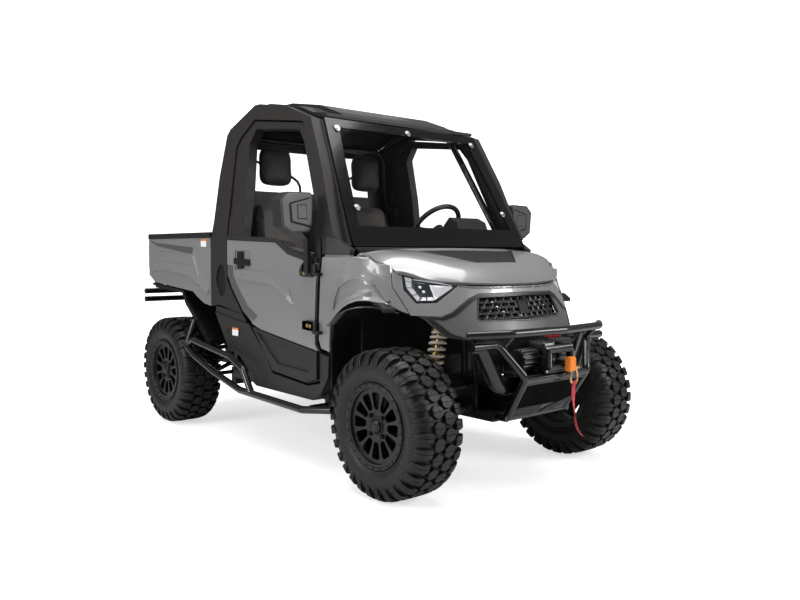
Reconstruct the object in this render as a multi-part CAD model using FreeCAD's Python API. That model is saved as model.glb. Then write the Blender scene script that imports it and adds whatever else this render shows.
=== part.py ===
import FreeCAD, Part
import math
import os

V = FreeCAD.Vector

# A side by side utility vehicle with a cab and a tipping bed. Millimetres.
# +X points forward, +Y to the driver's left, +Z up. The origin is on the
# floor below the middle of the vehicle. The right side is drawn, and the
# left side is its mirror image.

WHEELBASE = 2170.0
HALF_TRACK = 647.0
FRONT_X = WHEELBASE / 2
REAR_X = -WHEELBASE / 2

TYRE_RADIUS = 343.0
TYRE_WIDTH = 262.0
LUG_DEPTH = 16.0
LUG_WIDTH = 40.0
LUG_PITCHES = 22
RIM_LIP_RADIUS = 197.0
RIM_SEAT_RADIUS = 178.0
RIM_WIDTH = 222.0
DISC_RADIUS = 120.0
HUB_INNER_Y = HALF_TRACK - 50.0

SIDE_Y = 700.0
BELT_Z = 1200.0
LEAN_DEG = 7.0
DOOR_THICKNESS = 55.0
SKIN = 12.0
GAP = 6.0
SEAT_GAP = 0.3

RAIL_Y = 225.0
RAIL_WIDTH = 50.0
RAIL_LOW = 330.0
RAIL_HIGH = 375.0
RAIL_FRONT = 1330.0
FLOOR_Z = 430.0
ARM_PLATE_Y = 255.0
SHAFT_Z = 405.0
TOWER_X = 48.0

DOOR_HINGE_X = 566.0
DOOR_HINGE_Y = SIDE_Y + 17.0
STRAP_Y = SIDE_Y + 24.0
DOOR_HINGE_LEVELS = (712.0, 1000.0)
HOOD_REAR_X = 808.0
HOOD_HINGE_X = 814.0
HOOD_HINGE_Z = 1100.0
HOOD_LUG_Y = 530.0
BED_HINGE_X = -1425.0
BED_HINGE_Z = 878.0
TAILGATE_HINGE_X = -1462.0
TAILGATE_HINGE_Z = 965.0
PIN_RADIUS = 5.0

KINGPIN_Y = 556.0
UPPER_BALL_Z = TYRE_RADIUS + 102.0
LOWER_BALL_Z = TYRE_RADIUS - 100.0
RACK_X = FRONT_X - 150.0
RACK_Z = 440.0


def face(points):
    return Part.Face(Part.makePolygon(points + [points[0]]))


def slab_y(outline, y0, y1):
    """A plate cut to an x, z outline between two y values."""
    return face([V(x, y0, z) for x, z in outline]).extrude(V(0, y1 - y0, 0))


def slab_x(outline, x0, x1):
    """A plate cut to a y, z outline between two x values."""
    return face([V(x0, y, z) for y, z in outline]).extrude(V(x1 - x0, 0, 0))


def slab_z(outline, z0, z1):
    """A plate cut to an x, y outline between two z values."""
    return face([V(x, y, z0) for x, y in outline]).extrude(V(0, 0, z1 - z0))


def block(x0, x1, y0, y1, z0, z1):
    return Part.makeBox(x1 - x0, y1 - y0, z1 - z0, V(x0, y0, z0))


def rod(start, end, radius):
    return Part.makeCylinder(radius, (end - start).Length, start, end - start)


def cross_rod(x, z, y0, y1, radius):
    """A round rod along y."""
    return rod(V(x, y0, z), V(x, y1, z), radius)


def mirrored(shape):
    return shape.mirror(V(0, 0, 0), V(0, 1, 0))


def both(shape):
    return Part.makeCompound([shape, mirrored(shape)])


def fused(shapes):
    solid = shapes[0].multiFuse(shapes[1:])
    return solid.removeSplitter()


def bent_bar(points, radius, bend):
    """A round bar along straight runs joined by tangent arcs."""
    edges = []
    start = points[0]
    for before, corner, after in zip(points, points[1:], points[2:]):
        into = (corner - before).normalize()
        out = (after - corner).normalize()
        turn = into.getAngle(out)
        reach = bend * math.tan(turn / 2)
        inward = (out - into).normalize()
        centre = corner + inward * (bend / math.cos(turn / 2))
        arc_start = corner - into * reach
        arc_end = corner + out * reach
        edges.append(Part.LineSegment(start, arc_start).toShape())
        edges.append(Part.Arc(arc_start, centre - inward * bend, arc_end).toShape())
        start = arc_end
    edges.append(Part.LineSegment(start, points[-1]).toShape())
    ring = Part.Wire(Part.makeCircle(radius, points[0], points[1] - points[0]))
    return Part.Wire(edges).makePipeShell([ring], True, True)


def leaned(shape):
    """Tips a piece of the right side inwards above the belt line."""
    tipped = shape.copy()
    tipped.rotate(V(0, -SIDE_Y, BELT_Z), V(1, 0, 0), -LEAN_DEG)
    return tipped


def turned(profile, centre):
    """Turns an r, y profile into a ring about the wheel's axle."""
    points = [V(r, y, 0) for r, y in profile]
    ring = face(points).revolve(V(0, 0, 0), V(0, 1, 0), 360)
    ring.translate(centre)
    return ring


# Front body. The nose outlines are y, z points of the right half.

SEAM = [(997, 1056), (1023, 959), (1103, 838)]
ARCH = [(662, 690), (668, 770), (745, 830), (805, 885), (910, 898), (1022, 887), (1076, 850), (1103, 838)]
FLARE = [(690, 800), (756, 872), (800, 938), (881, 962), (1008, 934), (1090, 852)]
ARCH_INNER = [(1069, 838), (1014, 872), (912, 883), (815, 870), (757, 818), (682, 762), (674, 690)]
FENDER_REAR = [(662, 628), (594, 640), (574, 680), (574, 775), (586, 970), (598, 1092)]
SILVER_EDGE = [(629, 832), (574, 830), (458, 824), (414, 841), (314, 907), (262, 925), (0, 928)]
BAND_EDGE = [(625, 1040), (591, 1024), (348, 966), (288, 959), (160, 956), (0, 956)]
COVER_LOW = [(529, 822), (513, 810), (495, 784), (461, 739), (437, 728), (383, 719), (0, 722)]
GRILLE_TOP = [(264, 906), (0, 911)]
GRILLE_LOW = [(0, 798), (281, 803), (296, 814)]
LAMP = [(565, 1018), (348, 964), (461, 885), (540, 883), (572, 947)]
NOSE_WIDTHS = [0.0, 110.0, 220.0, 320.0, 410.0, 490.0, 555.0, 600.0]
SIDE_LEAN_Z = 1010.0
COVER_INSET = 2.0
GRILLE_INSET = COVER_INSET + SKIN + SEAT_GAP
GRILLE_SKIN = 8.0


def nose_x(y, z):
    """How far forward the nose reaches at a width and a height."""
    return 1290.0 - 0.40 * (z - 900.0) - nose_sweep(y)


def nose_sweep(y):
    """How far the nose falls back towards its corners."""
    return 0.496e-3 * y ** 2 + 0.42e-9 * y ** 4


def nose_curve(z, inset):
    """The plan outline of the front shell from the right door to the left.

    Near the hood its sides lean in towards the nose.
    """
    lean = max(0.0, (z - SIDE_LEAN_Z) * 0.36)
    half = [(nose_x(y, z) - inset, y * (1 - inset / 600.0)) for y in NOSE_WIDTHS]
    corner_x = nose_x(640.0, z) - inset
    half.append((corner_x - 8.0 - 0.8 * lean, 652.0 - lean - inset))
    half.append((corner_x - 62.0 - lean, 684.0 - lean - inset))
    half += [(780.0, SIDE_Y - lean - inset), (560.0, SIDE_Y - inset)]
    right = [V(x, -y, z) for x, y in reversed(half)]
    left = [V(x, y, z) for x, y in half[1:]]
    return right + left


def front_shell(thickness, inset):
    """The wall of the front body, open to the rear."""
    rings = []
    for z in (600.0, SIDE_LEAN_Z, 1160.0):
        outer = nose_curve(z, inset)
        inner = nose_curve(z, inset + thickness)
        rings.append(Part.makePolygon(outer + inner[::-1] + [outer[0]]))
    return Part.makeLoft(rings, True, True)


def nose_band(low, high):
    """Everything between two nose outlines, on both sides."""
    right = slab_x([(-y, z) for y, z in low + high[::-1]], 1000, 1500)
    return right.fuse(mirrored(right))


HOOD_ROWS = [
    (HOOD_REAR_X, 0.0, 1136.0, 1134.0, 1106.0, 640.0),
    (930.0, 0.10, 1118.0, 1124.0, 1096.0, 626.0),
    (1050.0, 0.35, 1086.0, 1100.0, 1068.0, 610.0),
    (1160.0, 0.75, 1052.0, 1064.0, 1047.0, 588.0),
    (1225.0, 0.97, 1014.0, 1027.0, 1033.0, 580.0),
    (1268.0, 1.05, 970.0, 980.0, 1031.0, 578.0),
]


def hood_row(x, bow, centre_z, ridge_z, edge_z, half_width, drop):
    """One line across the hood, from its right edge to its left edge."""
    points = []
    for step in range(-6, 7):
        y = half_width * step / 6.0
        back = bow * nose_sweep(y)
        share = abs(step) / 6.0
        if share < 0.62:
            z = centre_z + (ridge_z - centre_z) * (share / 0.62) ** 2
        else:
            z = ridge_z + (edge_z - ridge_z) * ((share - 0.62) / 0.38) ** 2
        points.append(V(x - back, y, z - drop))
    return points


def skin_solid(top_rows, low_rows):
    """The space between two smooth surfaces, each drawn through rows of points."""
    surfaces = []
    for rows in (top_rows, low_rows):
        surface = Part.BSplineSurface()
        surface.interpolate(rows)
        surfaces.append(surface.toShape())
    faces = list(surfaces)
    for upper, lower in zip(surfaces[0].Edges, surfaces[1].Edges):
        faces.append(Part.makeRuledSurface(upper, lower))
    shell = Part.Shell(faces)
    shell.sewShape()
    solid = Part.Solid(shell)
    if solid.Volume < 0:
        solid.reverse()
    return solid


def hood_shell(thickness, drop, wider=0.0):
    """The hood's skin: it drops as far as the step below the outer surface."""
    top_rows = []
    low_rows = []
    for x, bow, centre_z, ridge_z, edge_z, half_width in HOOD_ROWS:
        back = (x - HOOD_REAR_X) / (HOOD_ROWS[-1][0] - HOOD_REAR_X)
        shape = (bow, centre_z, ridge_z, edge_z, half_width + wider)
        top_rows.append(hood_row(x - back * drop, *shape, drop))
        low_rows.append(hood_row(x - back * (drop + thickness), *shape, drop + thickness))
    return skin_solid(top_rows, low_rows)


def hood_clearance():
    """The hood's skin grown by the gap that the pieces around it keep."""
    return hood_shell(SKIN + GAP + 20.0, -20.0, GAP)


def insert_outline(inset):
    half = [(HOOD_REAR_X + 14 + inset, 440 - inset * 1.5), (1118 - inset, 149 - inset)]
    return half + [(x, -y) for x, y in reversed(half)]


def hood():
    lugs = []
    for y in (-HOOD_LUG_Y, HOOD_LUG_Y - 12):
        lug = block(HOOD_HINGE_X - 10, HOOD_HINGE_X + 10, y, y + 12, HOOD_HINGE_Z - 9, HOOD_HINGE_Z + 18)
        lugs.append(lug.cut(cross_rod(HOOD_HINGE_X, HOOD_HINGE_Z, y - 5, y + 20, PIN_RADIUS + SEAT_GAP)))
    skin = hood_shell(SKIN, 0.0).cut(slab_z(insert_outline(0.0), 900, 1300))
    return fused([skin] + lugs)


def hood_insert():
    return hood_shell(8.0, SKIN + SEAT_GAP).common(slab_z(insert_outline(-14.0), 900, 1300))


LIP_Y = 735.0


def fender_flare():
    """The bulge around the arch, from its lip back to the fender's side."""
    lip = ARCH[1:7]
    crest = [(x + (a - x) * 0.3, z + (b - z) * 0.3) for (x, z), (a, b) in zip(lip, FLARE)]
    low = Part.makePolygon([V(x, -SIDE_Y + SKIN, z) for x, z in lip + FLARE[::-1] + lip[:1]])
    high = Part.makePolygon([V(x, -LIP_Y, z) for x, z in lip + crest[::-1] + lip[:1]])
    return Part.makeLoft([low, high], True, True)


def flare_plan():
    """Seen from above, the flare ends on the nose's corner."""
    outline = [(660, -LIP_Y), (880, -LIP_Y), (955, -706), (1030, -640), (1090, -575), (1090, -540), (660, -540)]
    return slab_z(outline, 600, 1010)


def front_fenders():
    outline = FENDER_REAR + [(780, 1098), (912, 1084)] + SEAM[:2] + ARCH[::-1]
    side = front_shell(SKIN, 0.0).common(slab_y(outline, -720, -300))
    shelf = slab_z([(604, -690), (780, -664), (908, -628), (940, -596), (700, -600), (690, -622), (604, -622)],
                   1080, 1096)
    rest = slab_z([(612, -688), (778, -662), (778, -640), (612, -656)], 1090, 1104)
    lip = slab_y(ARCH[1:7] + ARCH_INNER[:6], -LIP_Y, -SIDE_Y + SKIN)
    flare = lip.fuse(fender_flare()).common(flare_plan())
    pieces = [side, shelf, rest, flare]
    for low in DOOR_HINGE_LEVELS:
        arm = slab_z([(604, -690), (604, -728), (DOOR_HINGE_X - 10, -728), (DOOR_HINGE_X - 10, -709),
                      (578, -709), (590, -690)], low, low + 14)
        pin = rod(V(DOOR_HINGE_X, -DOOR_HINGE_Y, low + 4), V(DOOR_HINGE_X, -DOOR_HINGE_Y, low + 48), PIN_RADIUS)
        pieces += [arm, pin]
    hood_heel = block(HOOD_REAR_X - 14, HOOD_REAR_X + 20, -648, -590, 1070, 1150)
    return both(fused(pieces).cut(hood_clearance()).cut(hood_heel))


def lamp_outline(grow):
    mid_y = sum(y for y, z in LAMP) / len(LAMP)
    mid_z = sum(z for y, z in LAMP) / len(LAMP)
    outline = []
    for y, z in LAMP:
        scale = 1 + grow / math.hypot(y - mid_y, z - mid_z)
        outline.append((-(mid_y + (y - mid_y) * scale), mid_z + (z - mid_z) * scale))
    return outline


def front_fascia():
    region = nose_band(SILVER_EDGE, BAND_EDGE)
    rear = [(x + 5, z) for x, z in SEAM] + [(1130, 780), (1450, 780), (1450, 1080), (1013, 1080)]
    shell = front_shell(SKIN, 0.0).common(region).common(slab_y(rear, -720, 720))
    lamp = slab_x(lamp_outline(SEAT_GAP * 1.6), 1000, 1400)
    return shell.cut(lamp).cut(mirrored(lamp)).cut(hood_clearance())


def headlights():
    shell = front_shell(30.0, 4.0)
    lamp = slab_x(lamp_outline(0.0), 1052, 1400)
    return both(shell.common(lamp).cut(hood_clearance()))


def bumper_cover():
    edge = [(y, z - SEAT_GAP) for y, z in SILVER_EDGE]
    region = nose_band(COVER_LOW, [(536, 827)] + edge[2:])
    opening = slab_x([(-y, z) for y, z in GRILLE_TOP + GRILLE_LOW], 1100, 1500)
    return front_shell(SKIN, COVER_INSET).common(region).cut(opening).cut(mirrored(opening))


def grille():
    half = [(272, 914), (0, 919), (0, 790), (290, 795), (305, 812)]
    right = slab_x([(-y, z) for y, z in half], 1100, 1500)
    panel = front_shell(GRILLE_SKIN, GRILLE_INSET).common(right.fuse(mirrored(right)))
    slots = []
    for row in range(4):
        for column in range(-5, 6):
            y = 44.0 * column + 22.0 * (row % 2) - 11.0
            z = 812.0 + 25.0 * row
            if abs(y) < 238.0:
                slots.append(block(1100, 1400, y - 15, y + 15, z - 6, z + 6))
    return panel.cut(Part.makeCompound(slots))


def wheel_liners():
    rear = slab_y(ARCH[1:3] + ARCH_INNER[4:6], -SIDE_Y + SKIN + SEAT_GAP, -561)
    top = slab_y(ARCH[2:7] + ARCH_INNER[:5], -SIDE_Y + SKIN + SEAT_GAP, -420)
    top = top.common(block(745, 1060, -700, -400, 600, 1000))
    plate = block(657.3, 667, -SIDE_Y + SKIN + SEAT_GAP, -561, 440, 768)
    foot = slab_y([(657.3, 690), (657.3, 766), (684, 766), (674, 690)], -SIDE_Y + SKIN + SEAT_GAP, -561)
    return both(fused([rear, top, plate, foot]))


# Cab. Outlines are x, z points of the right side before it is tipped in.

CAB_OUTER = [(-547, 1190), (-530, 1300), (-515, 1565), (-472, 1812), (-440, 1845), (-180, 1953),
             (-125, 1953), (165, 1902), (293, 1853), (400, 1815), (551, 1532), (651, 1293),
             (712, 1174), (788, 1137), (780, 1100), (608, 1100), (598, 1190)]
DOORWAY = [(-356, 1190), (-352, 1725), (-310, 1782), (-167, 1871), (228, 1817), (330, 1801),
           (399, 1701), (530, 1421), (585, 1318), (590, 1190)]
PILLAR_LOW = [(-547, 1200), (-547, 803), (-432, 800), (-336, 787), (-176, 761), (-188, 770), (-303, 888),
              (-354, 946), (-356, 1200)]
VENT = [(-436, 1044), (-470, 1012), (-490, 955), (-478, 908), (-450, 861), (-416, 849), (-386, 869),
        (-371, 912), (-374, 996), (-397, 1033)]
DOOR_TOP = [(-346, 1190), (-342, 1722), (-303, 1774), (-165, 1862), (226, 1808), (322, 1794),
            (391, 1697), (522, 1417), (577, 1316), (580, 1190)]
DOOR_LOW = [(-346, 1200), (-346, 950), (-296, 897), (-179, 776), (-120, 742), (-64, 719), (-33, 690),
            (58, 582), (150, 473), (471, 449), (575, 476), (575, 622), (548, 655), (546, 770), (558, 965),
            (578, 1075), (580, 1200)]
WINDOW_TOP = [(-188, 1180), (-188, 1470), (-212, 1735), (-150, 1815), (290, 1765), (350, 1695),
              (480, 1415), (530, 1318), (530, 1180)]
WINDOW_LOW = [(-188, 1212), (-188, 1202), (182, 1202), (298, 1142), (390, 1122), (454, 1114),
              (530, 1110), (530, 1212)]
BELT_TRIM = [(-340, 1187), (182, 1168), (298, 1107), (454, 1076), (567, 1064), (567, 1090),
             (454, 1102), (298, 1132), (182, 1191), (-340, 1212)]
PANEL = [(-342, 1185), (182, 1166), (298, 1105), (454, 1074), (574, 1062), (554, 965), (542, 770),
         (544, 652), (568, 624), (30, 690), (-62, 716), (-115, 770), (-275, 985), (-283, 1036), (-342, 1040)]
PANEL_BAND = [(-262, 1006), (-229, 1017), (156, 1006), (246, 967), (317, 924), (350, 849), (228, 910),
              (150, 941), (-230, 961)]
CLADDING = [(-50, 700), (30, 685), (568, 619), (568, 482), (471, 456), (156, 480), (60, 586)]


def door_straps(grow):
    """The hinge leaves on the door's outside and their knuckles."""
    pieces = []
    for low in DOOR_HINGE_LEVELS:
        z0 = low + 14 + SEAT_GAP - grow
        z1 = low + 58 + grow
        pieces.append(block(460 - grow, DOOR_HINGE_X, -STRAP_Y - grow, -690, z0, z1))
        pieces.append(rod(V(DOOR_HINGE_X, -DOOR_HINGE_Y, z0), V(DOOR_HINGE_X, -DOOR_HINGE_Y, z1), 10 + grow))
    return fused(pieces)


def hinge_bores():
    bores = []
    for low in DOOR_HINGE_LEVELS:
        base = V(DOOR_HINGE_X, -DOOR_HINGE_Y, low + 10)
        bores.append(rod(base, base + V(0, 0, 42), PIN_RADIUS + SEAT_GAP))
    return Part.makeCompound(bores)


def cab_side_arches():
    upper = leaned(slab_y(CAB_OUTER, -SIDE_Y, -SIDE_Y + 70))
    doorway = leaned(slab_y(DOORWAY, -SIDE_Y - 10, -SIDE_Y + 90))
    upper = upper.cut(doorway).cut(block(-600, 1000, -800, -SIDE_Y, 1000, 1300))
    upper = upper.cut(block(560, 1000, -800, -500, 1000, 1104 + SEAT_GAP))
    upper = upper.cut(slab_z([(640, -700), (800, -664), (800, -800), (640, -800)], 1000, 1190))
    low = slab_y(PILLAR_LOW, -SIDE_Y, -SIDE_Y + 70)
    vent = slab_y(VENT, -SIDE_Y - 5, -SIDE_Y + 10)
    rebate = windshield_sheet([(-645, 1150), (-566, 1800), (-532, 1800), (-600, 1150)], -34 - SEAT_GAP, 34)
    return both(fused([upper, low, rebate]).cut(vent))


def door_frame():
    outer = -SIDE_Y + 8
    upper = leaned(slab_y(DOOR_TOP, outer, outer + DOOR_THICKNESS))
    low = slab_y(DOOR_LOW, outer, outer + DOOR_THICKNESS)
    frame = fused([upper, low])
    frame = frame.cut(leaned(slab_y(WINDOW_TOP, -SIDE_Y - 20, -SIDE_Y + 120)))
    frame = frame.cut(slab_y(WINDOW_LOW, -SIDE_Y - 20, -SIDE_Y + 120))
    trim = slab_y(BELT_TRIM, -SIDE_Y - 6, outer)
    cladding = slab_y(CLADDING, -SIDE_Y - 12, outer)
    recess = slab_y([(-8, 676), (207, 520), (496, 511), (528, 560), (528, 606)], -SIDE_Y - 20, -SIDE_Y - 2)
    fairing = leaned(slab_y([(-336, 1206), (-150, 1206), (-215, 1320), (-336, 1320)], -SIDE_Y, outer))
    return fused([frame, trim, cladding.cut(recess), fairing, door_straps(0.0)]).cut(hinge_bores())


def door_panel():
    panel = slab_y(PANEL, -SIDE_Y - 4, -SIDE_Y + 8 - SEAT_GAP)
    pocket = slab_y([(-256, 1012), (-89, 1030), (-89, 1126), (-249, 1126)], -SIDE_Y - 10, -SIDE_Y + 2)
    handle = slab_y([(-227, 1112), (-168, 1112), (-168, 1079), (-85, 1071), (-86, 1042), (-254, 1042),
                     (-254, 1076), (-227, 1080)], -SIDE_Y - 9, -SIDE_Y + 4)
    band = slab_y(PANEL_BAND, -SIDE_Y - 9, -SIDE_Y)
    return fused([panel.cut(pocket), handle, band]).cut(door_straps(SEAT_GAP))


def door_glass():
    inner = -SIDE_Y + 8 + DOOR_THICKNESS + SEAT_GAP
    upper = leaned(slab_y([(-204, 1208), (-204, 1470), (-228, 1738), (-160, 1830), (296, 1780),
                           (364, 1702), (494, 1420), (546, 1324), (546, 1208)], inner, inner + 4))
    lower = slab_y([(190, 1199.5), (304, 1128), (392, 1108), (546, 1094), (546, 1199.5)], inner, inner + 4)
    return Part.makeCompound([upper, lower])


def door_mirror():
    front = -STRAP_Y - SEAT_GAP
    arm = slab_x([(front, 1012), (front - 18, 1012), (front - 18, 1180), (front - 62, 1222),
                  (front - 62, 1242), (front - 20, 1242), (front, 1200)], 502, 538)
    head = slab_x([(-740, 1240), (-752, 1214), (-860, 1205), (-912, 1240), (-924, 1365), (-880, 1405),
                   (-752, 1408), (-735, 1395)], 500, 575)
    return fused([arm, head])


def windshield_x(z):
    return 438.0 + (1751.0 - z) * 0.528


def windshield_sheet(outline, start, thickness):
    """A sheet in the plane of the windshield from a y, z outline."""
    normal = V(1.0, 0, 0.528).normalize()
    points = [V(windshield_x(z), y, z) + normal * start for y, z in outline]
    return face(points).extrude(normal * thickness)


def windshield_frame():
    border = windshield_sheet([(-629, 1142), (-629, 1200), (-554, 1805), (554, 1805), (629, 1200),
                               (629, 1142)], 0, 14)
    opening = windshield_sheet([(-560, 1240), (-480, 1760), (480, 1760), (560, 1240)], -30, 80)
    return border.cut(opening)


def cab_glass():
    front = windshield_sheet([(-600, 1200), (-545, 1795), (545, 1795), (600, 1200)], 14 + SEAT_GAP, 5)
    rear = slab_x([(-500, 1470), (-470, 1760), (470, 1760), (500, 1470)], -504.3, -500 - SEAT_GAP)
    return Part.makeCompound([front, rear])


def cab_rear_panel():
    wall = slab_x([(-629.2, 770), (-629.2, 1200), (-554.9, 1805), (554.9, 1805), (629.2, 1200),
                   (629.2, 770)], -500, -470)
    window = slab_x([(-470, 1490), (-445, 1745), (445, 1745), (470, 1490)], -600, -400)
    return wall.cut(window)


def roof():
    side = [(-478, 1825), (-440, 1850), (-180, 1958), (-125, 1958), (165, 1907), (293, 1858), (420, 1836),
            (424, 1818), (290, 1834), (160, 1882), (-125, 1934), (-175, 1934), (-430, 1827), (-460, 1815)]
    skin = slab_y(side, -538.4, 538.4)
    crown = slab_y([(-400, 1866), (-180, 1957), (-125, 1957), (165, 1906), (293, 1857), (385, 1842),
                    (330, 1870), (160, 1930), (-110, 1976), (-200, 1976)], -400, 400)
    return fused([skin, crown])


def roll_cage():
    tube = 19.0
    stand = FLOOR_Z + 14 + SEAT_GAP
    hoop = bent_bar([V(-436, -592, stand), V(-436, -592, 1330), V(-398, -520, 1790), V(-398, 520, 1790),
                     V(-436, 592, 1330), V(-436, 592, stand)], tube, 90)
    right = bent_bar([V(-398, -500, 1790), V(-160, -518, 1885), V(250, -518, 1815), V(640, -596, 1150),
                      V(598, -596, 980), V(598, -596, stand)], tube, 60)
    guide = block(-430, -330, -594, -577, 1425, 1465)
    cross = cross_rod(200, 1823.5, -518, 518, 16)
    return fused([hoop, right, mirrored(right), cross, guide, mirrored(guide)])


def floor_tub():
    top = FLOOR_Z + 14
    floor = block(-460, 620, -625, 625, FLOOR_Z, top)
    firewall = slab_y([(620, FLOOR_Z), (740, 560), (740, 940), (726, 940), (726, 566), (606, top)], -555, 555)
    back = block(-454, -440, -555, 555, FLOOR_Z, 900)
    spacer = block(-470 + SEAT_GAP, -450, -500, 500, 780, 840)
    seat_box = slab_y([(-440, FLOOR_Z), (150, FLOOR_Z), (130, 757), (-440, 735)], -555, 555)
    hollow = slab_y([(-426, top), (132, top), (114, 742), (-426, 721)], -541, 541)
    back_frame = slab_y([(-440, 735), (-401, 735), (-420, 1380), (-440, 1380)], -555, 555)
    anchor = block(-352, -304, -594, -540, 500, 540)
    return fused([floor, firewall, back, spacer, seat_box.cut(hollow), back_frame, anchor, mirrored(anchor)])


def padded_block(outline, y0, y1, edge_radius):
    """A cushion: its long edges are rounded."""
    pad = slab_y(outline, y0, y1)
    edges = [edge for edge in pad.Edges if abs(edge.tangentAt(edge.FirstParameter).y) > 0.99]
    return pad.makeFillet(edge_radius, edges)


def seat_pads():
    cushion = padded_block([(-330, 739.7), (130, 757.4), (160, 766), (185, 800), (170, 860), (120, 878),
                            (-300, 850)], -568, -125, 7.5)
    back = padded_block([(-404.8, 878), (-290, 880), (-318, 1200), (-345, 1480), (-380, 1500),
                         (-422.3, 1480)], -545, -125, 7.5)
    head = padded_block([(-424, 1520), (-335, 1530), (-331, 1716), (-358, 1754), (-412, 1750)],
                        -460, -240, 9.0)
    stalks = [rod(V(-385, y, 1499.3), V(-385, y, 1560), 6) for y in (-390, -310)]
    pads = [cushion, back, fused([head] + stalks)]
    return Part.makeCompound(pads + [mirrored(pad) for pad in pads])


def seat_belts():
    webbing = slab_y([(-352, 500), (-304, 500), (-322, 1465), (-370, 1465)], -596.8, -594.3)
    return both(webbing)


def dashboard():
    body = slab_y([(470, 980), (500, 1150), (560, 1205), (700, 1128), (722, 1100), (722, 960), (600, 940)],
                  -555, 555)
    hump = slab_y([(475, 1130), (500, 1270), (545, 1317), (605, 1290), (660, 1160)], 230, 470)
    foot = block(620, 726 - SEAT_GAP, -545, 545, 915, 965)
    cowl = slab_y([(715, 1100), (760, 1108), (800, 1070), (826, 1070), (826, 1058), (796, 1058),
                   (750, 1086), (715, 1080)], -555, 555)
    pieces = [body, hump, foot, cowl]
    column = steering_shaft(SEAT_GAP)
    return fused(pieces + hood_forks()).cut(column)


def hood_forks():
    """Pins under the hood's rear edge, each held from both sides."""
    pieces = []
    for y in (-HOOD_LUG_Y, HOOD_LUG_Y - 12):
        for y0 in (y - 8 - SEAT_GAP, y + 12 + SEAT_GAP):
            pieces.append(block(HOOD_HINGE_X - 6, HOOD_HINGE_X + 6, y0, y0 + 8, 1062, HOOD_HINGE_Z))
            pieces.append(cross_rod(HOOD_HINGE_X, HOOD_HINGE_Z, y0, y0 + 8, 7.5))
        pieces.append(cross_rod(HOOD_HINGE_X, HOOD_HINGE_Z, y - 4, y + 16, PIN_RADIUS))
    return pieces


WHEEL_TILT = math.radians(40.0)
STEER_AXIS = V(-math.cos(WHEEL_TILT), 0, math.sin(WHEEL_TILT))
STEER_HUB = V(330, 350, 1243)


def steering_shaft(grow):
    end = STEER_HUB - STEER_AXIS * (30 - grow)
    thin = rod(end - STEER_AXIS * 250, end, 22 + grow)
    thick = rod(end - STEER_AXIS * (330 + grow * 2), end - STEER_AXIS * (240 - grow), 38 + grow)
    return fused([thin, thick])


def steering_column():
    return steering_shaft(0.0)


def steering_wheel():
    rim = Part.makeTorus(165, 15, STEER_HUB + STEER_AXIS * 30, STEER_AXIS)
    hub = Part.makeCylinder(42, 44, STEER_HUB - STEER_AXIS * (30 - SEAT_GAP), STEER_AXIS)
    spokes = []
    side = V(0, 1, 0)
    up = STEER_AXIS.cross(side) * -1
    for turn in (0.0, 180.0, 270.0):
        out = side * math.cos(math.radians(turn)) + up * math.sin(math.radians(turn))
        spokes.append(rod(STEER_HUB + STEER_AXIS * 4 + out * 30, STEER_HUB + STEER_AXIS * 28 + out * 163, 11))
    return fused([rim, hub] + spokes)


# Chassis and running gear

def main_frame():
    rail = block(-1430, RAIL_FRONT, -RAIL_Y - RAIL_WIDTH / 2, -RAIL_Y + RAIL_WIDTH / 2, RAIL_LOW, RAIL_HIGH)
    pieces = [rail, mirrored(rail), block(-1380, 1300, -RAIL_Y, RAIL_Y, RAIL_LOW - 6, RAIL_LOW + 4)]
    for x in (-1430, REAR_X - 80, REAR_X + 40, -740, -530, -60, 560, FRONT_X - 80, FRONT_X + 40, 1290):
        pieces.append(block(x, x + 40, -RAIL_Y, RAIL_Y, RAIL_LOW, RAIL_HIGH))
    right = []
    for x in (-740, -530):
        right.append(block(x, x + 40, -160, -100, RAIL_HIGH - 5, 385 - SEAT_GAP))
    for x in (-420, 540):
        right.append(block(x, x + 50, -640, -210, RAIL_LOW, FLOOR_Z - SEAT_GAP))
    for x in (FRONT_X, REAR_X):
        plate = block(x - 125, x + 125, -ARM_PLATE_Y, -240, 340, 525)
        right.append(plate.cut(cross_rod(x, 404, -ARM_PLATE_Y - 5, -236, 28)))
        right.append(block(x - 14, x + TOWER_X + 14, -368, -250, 775, 790))
    right.append(block(RACK_X - 20, RACK_X + 20, -245, -205, RAIL_HIGH - 5, RACK_Z - 16 - SEAT_GAP))
    bed_rail = bent_bar([V(-560, -300, 345), V(-560, -300, 838), V(-1410, -300, 838), V(-1410, -300, 345)], 20, 60)
    lug_inner = block(BED_HINGE_X - 8, BED_HINGE_X + 8, -326, -314, 838, BED_HINGE_Z)
    right += [bed_rail, block(-1440, -1400, -326, -314, 830, 852), lug_inner]
    right.append(cross_rod(BED_HINGE_X, BED_HINGE_Z, -326, -314, 12))
    right.append(cross_rod(BED_HINGE_X, BED_HINGE_Z, -350, -320, PIN_RADIUS + 2))
    for x in (FRONT_X + TOWER_X, REAR_X + TOWER_X):
        pieces.append(bent_bar([V(x, -RAIL_Y, 350), V(x, -245, 700), V(x, -330, 795), V(x, 330, 795),
                                V(x, 245, 700), V(x, RAIL_Y, 350)], 17, 40))
    pieces += [block(-575, -545, -320, 320, 340, 372), block(-1425, -1395, -320, 320, 340, 372)]
    pieces.append(bent_bar([V(1200, -RAIL_Y, 350), V(1190, -250, 895), V(1190, 250, 895),
                            V(1200, RAIL_Y, 350)], 15, 50))
    pieces.append(block(1185, 1259.8, -60, 60, 880, 910))
    return fused(pieces + right + [mirrored(piece) for piece in right])


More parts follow.
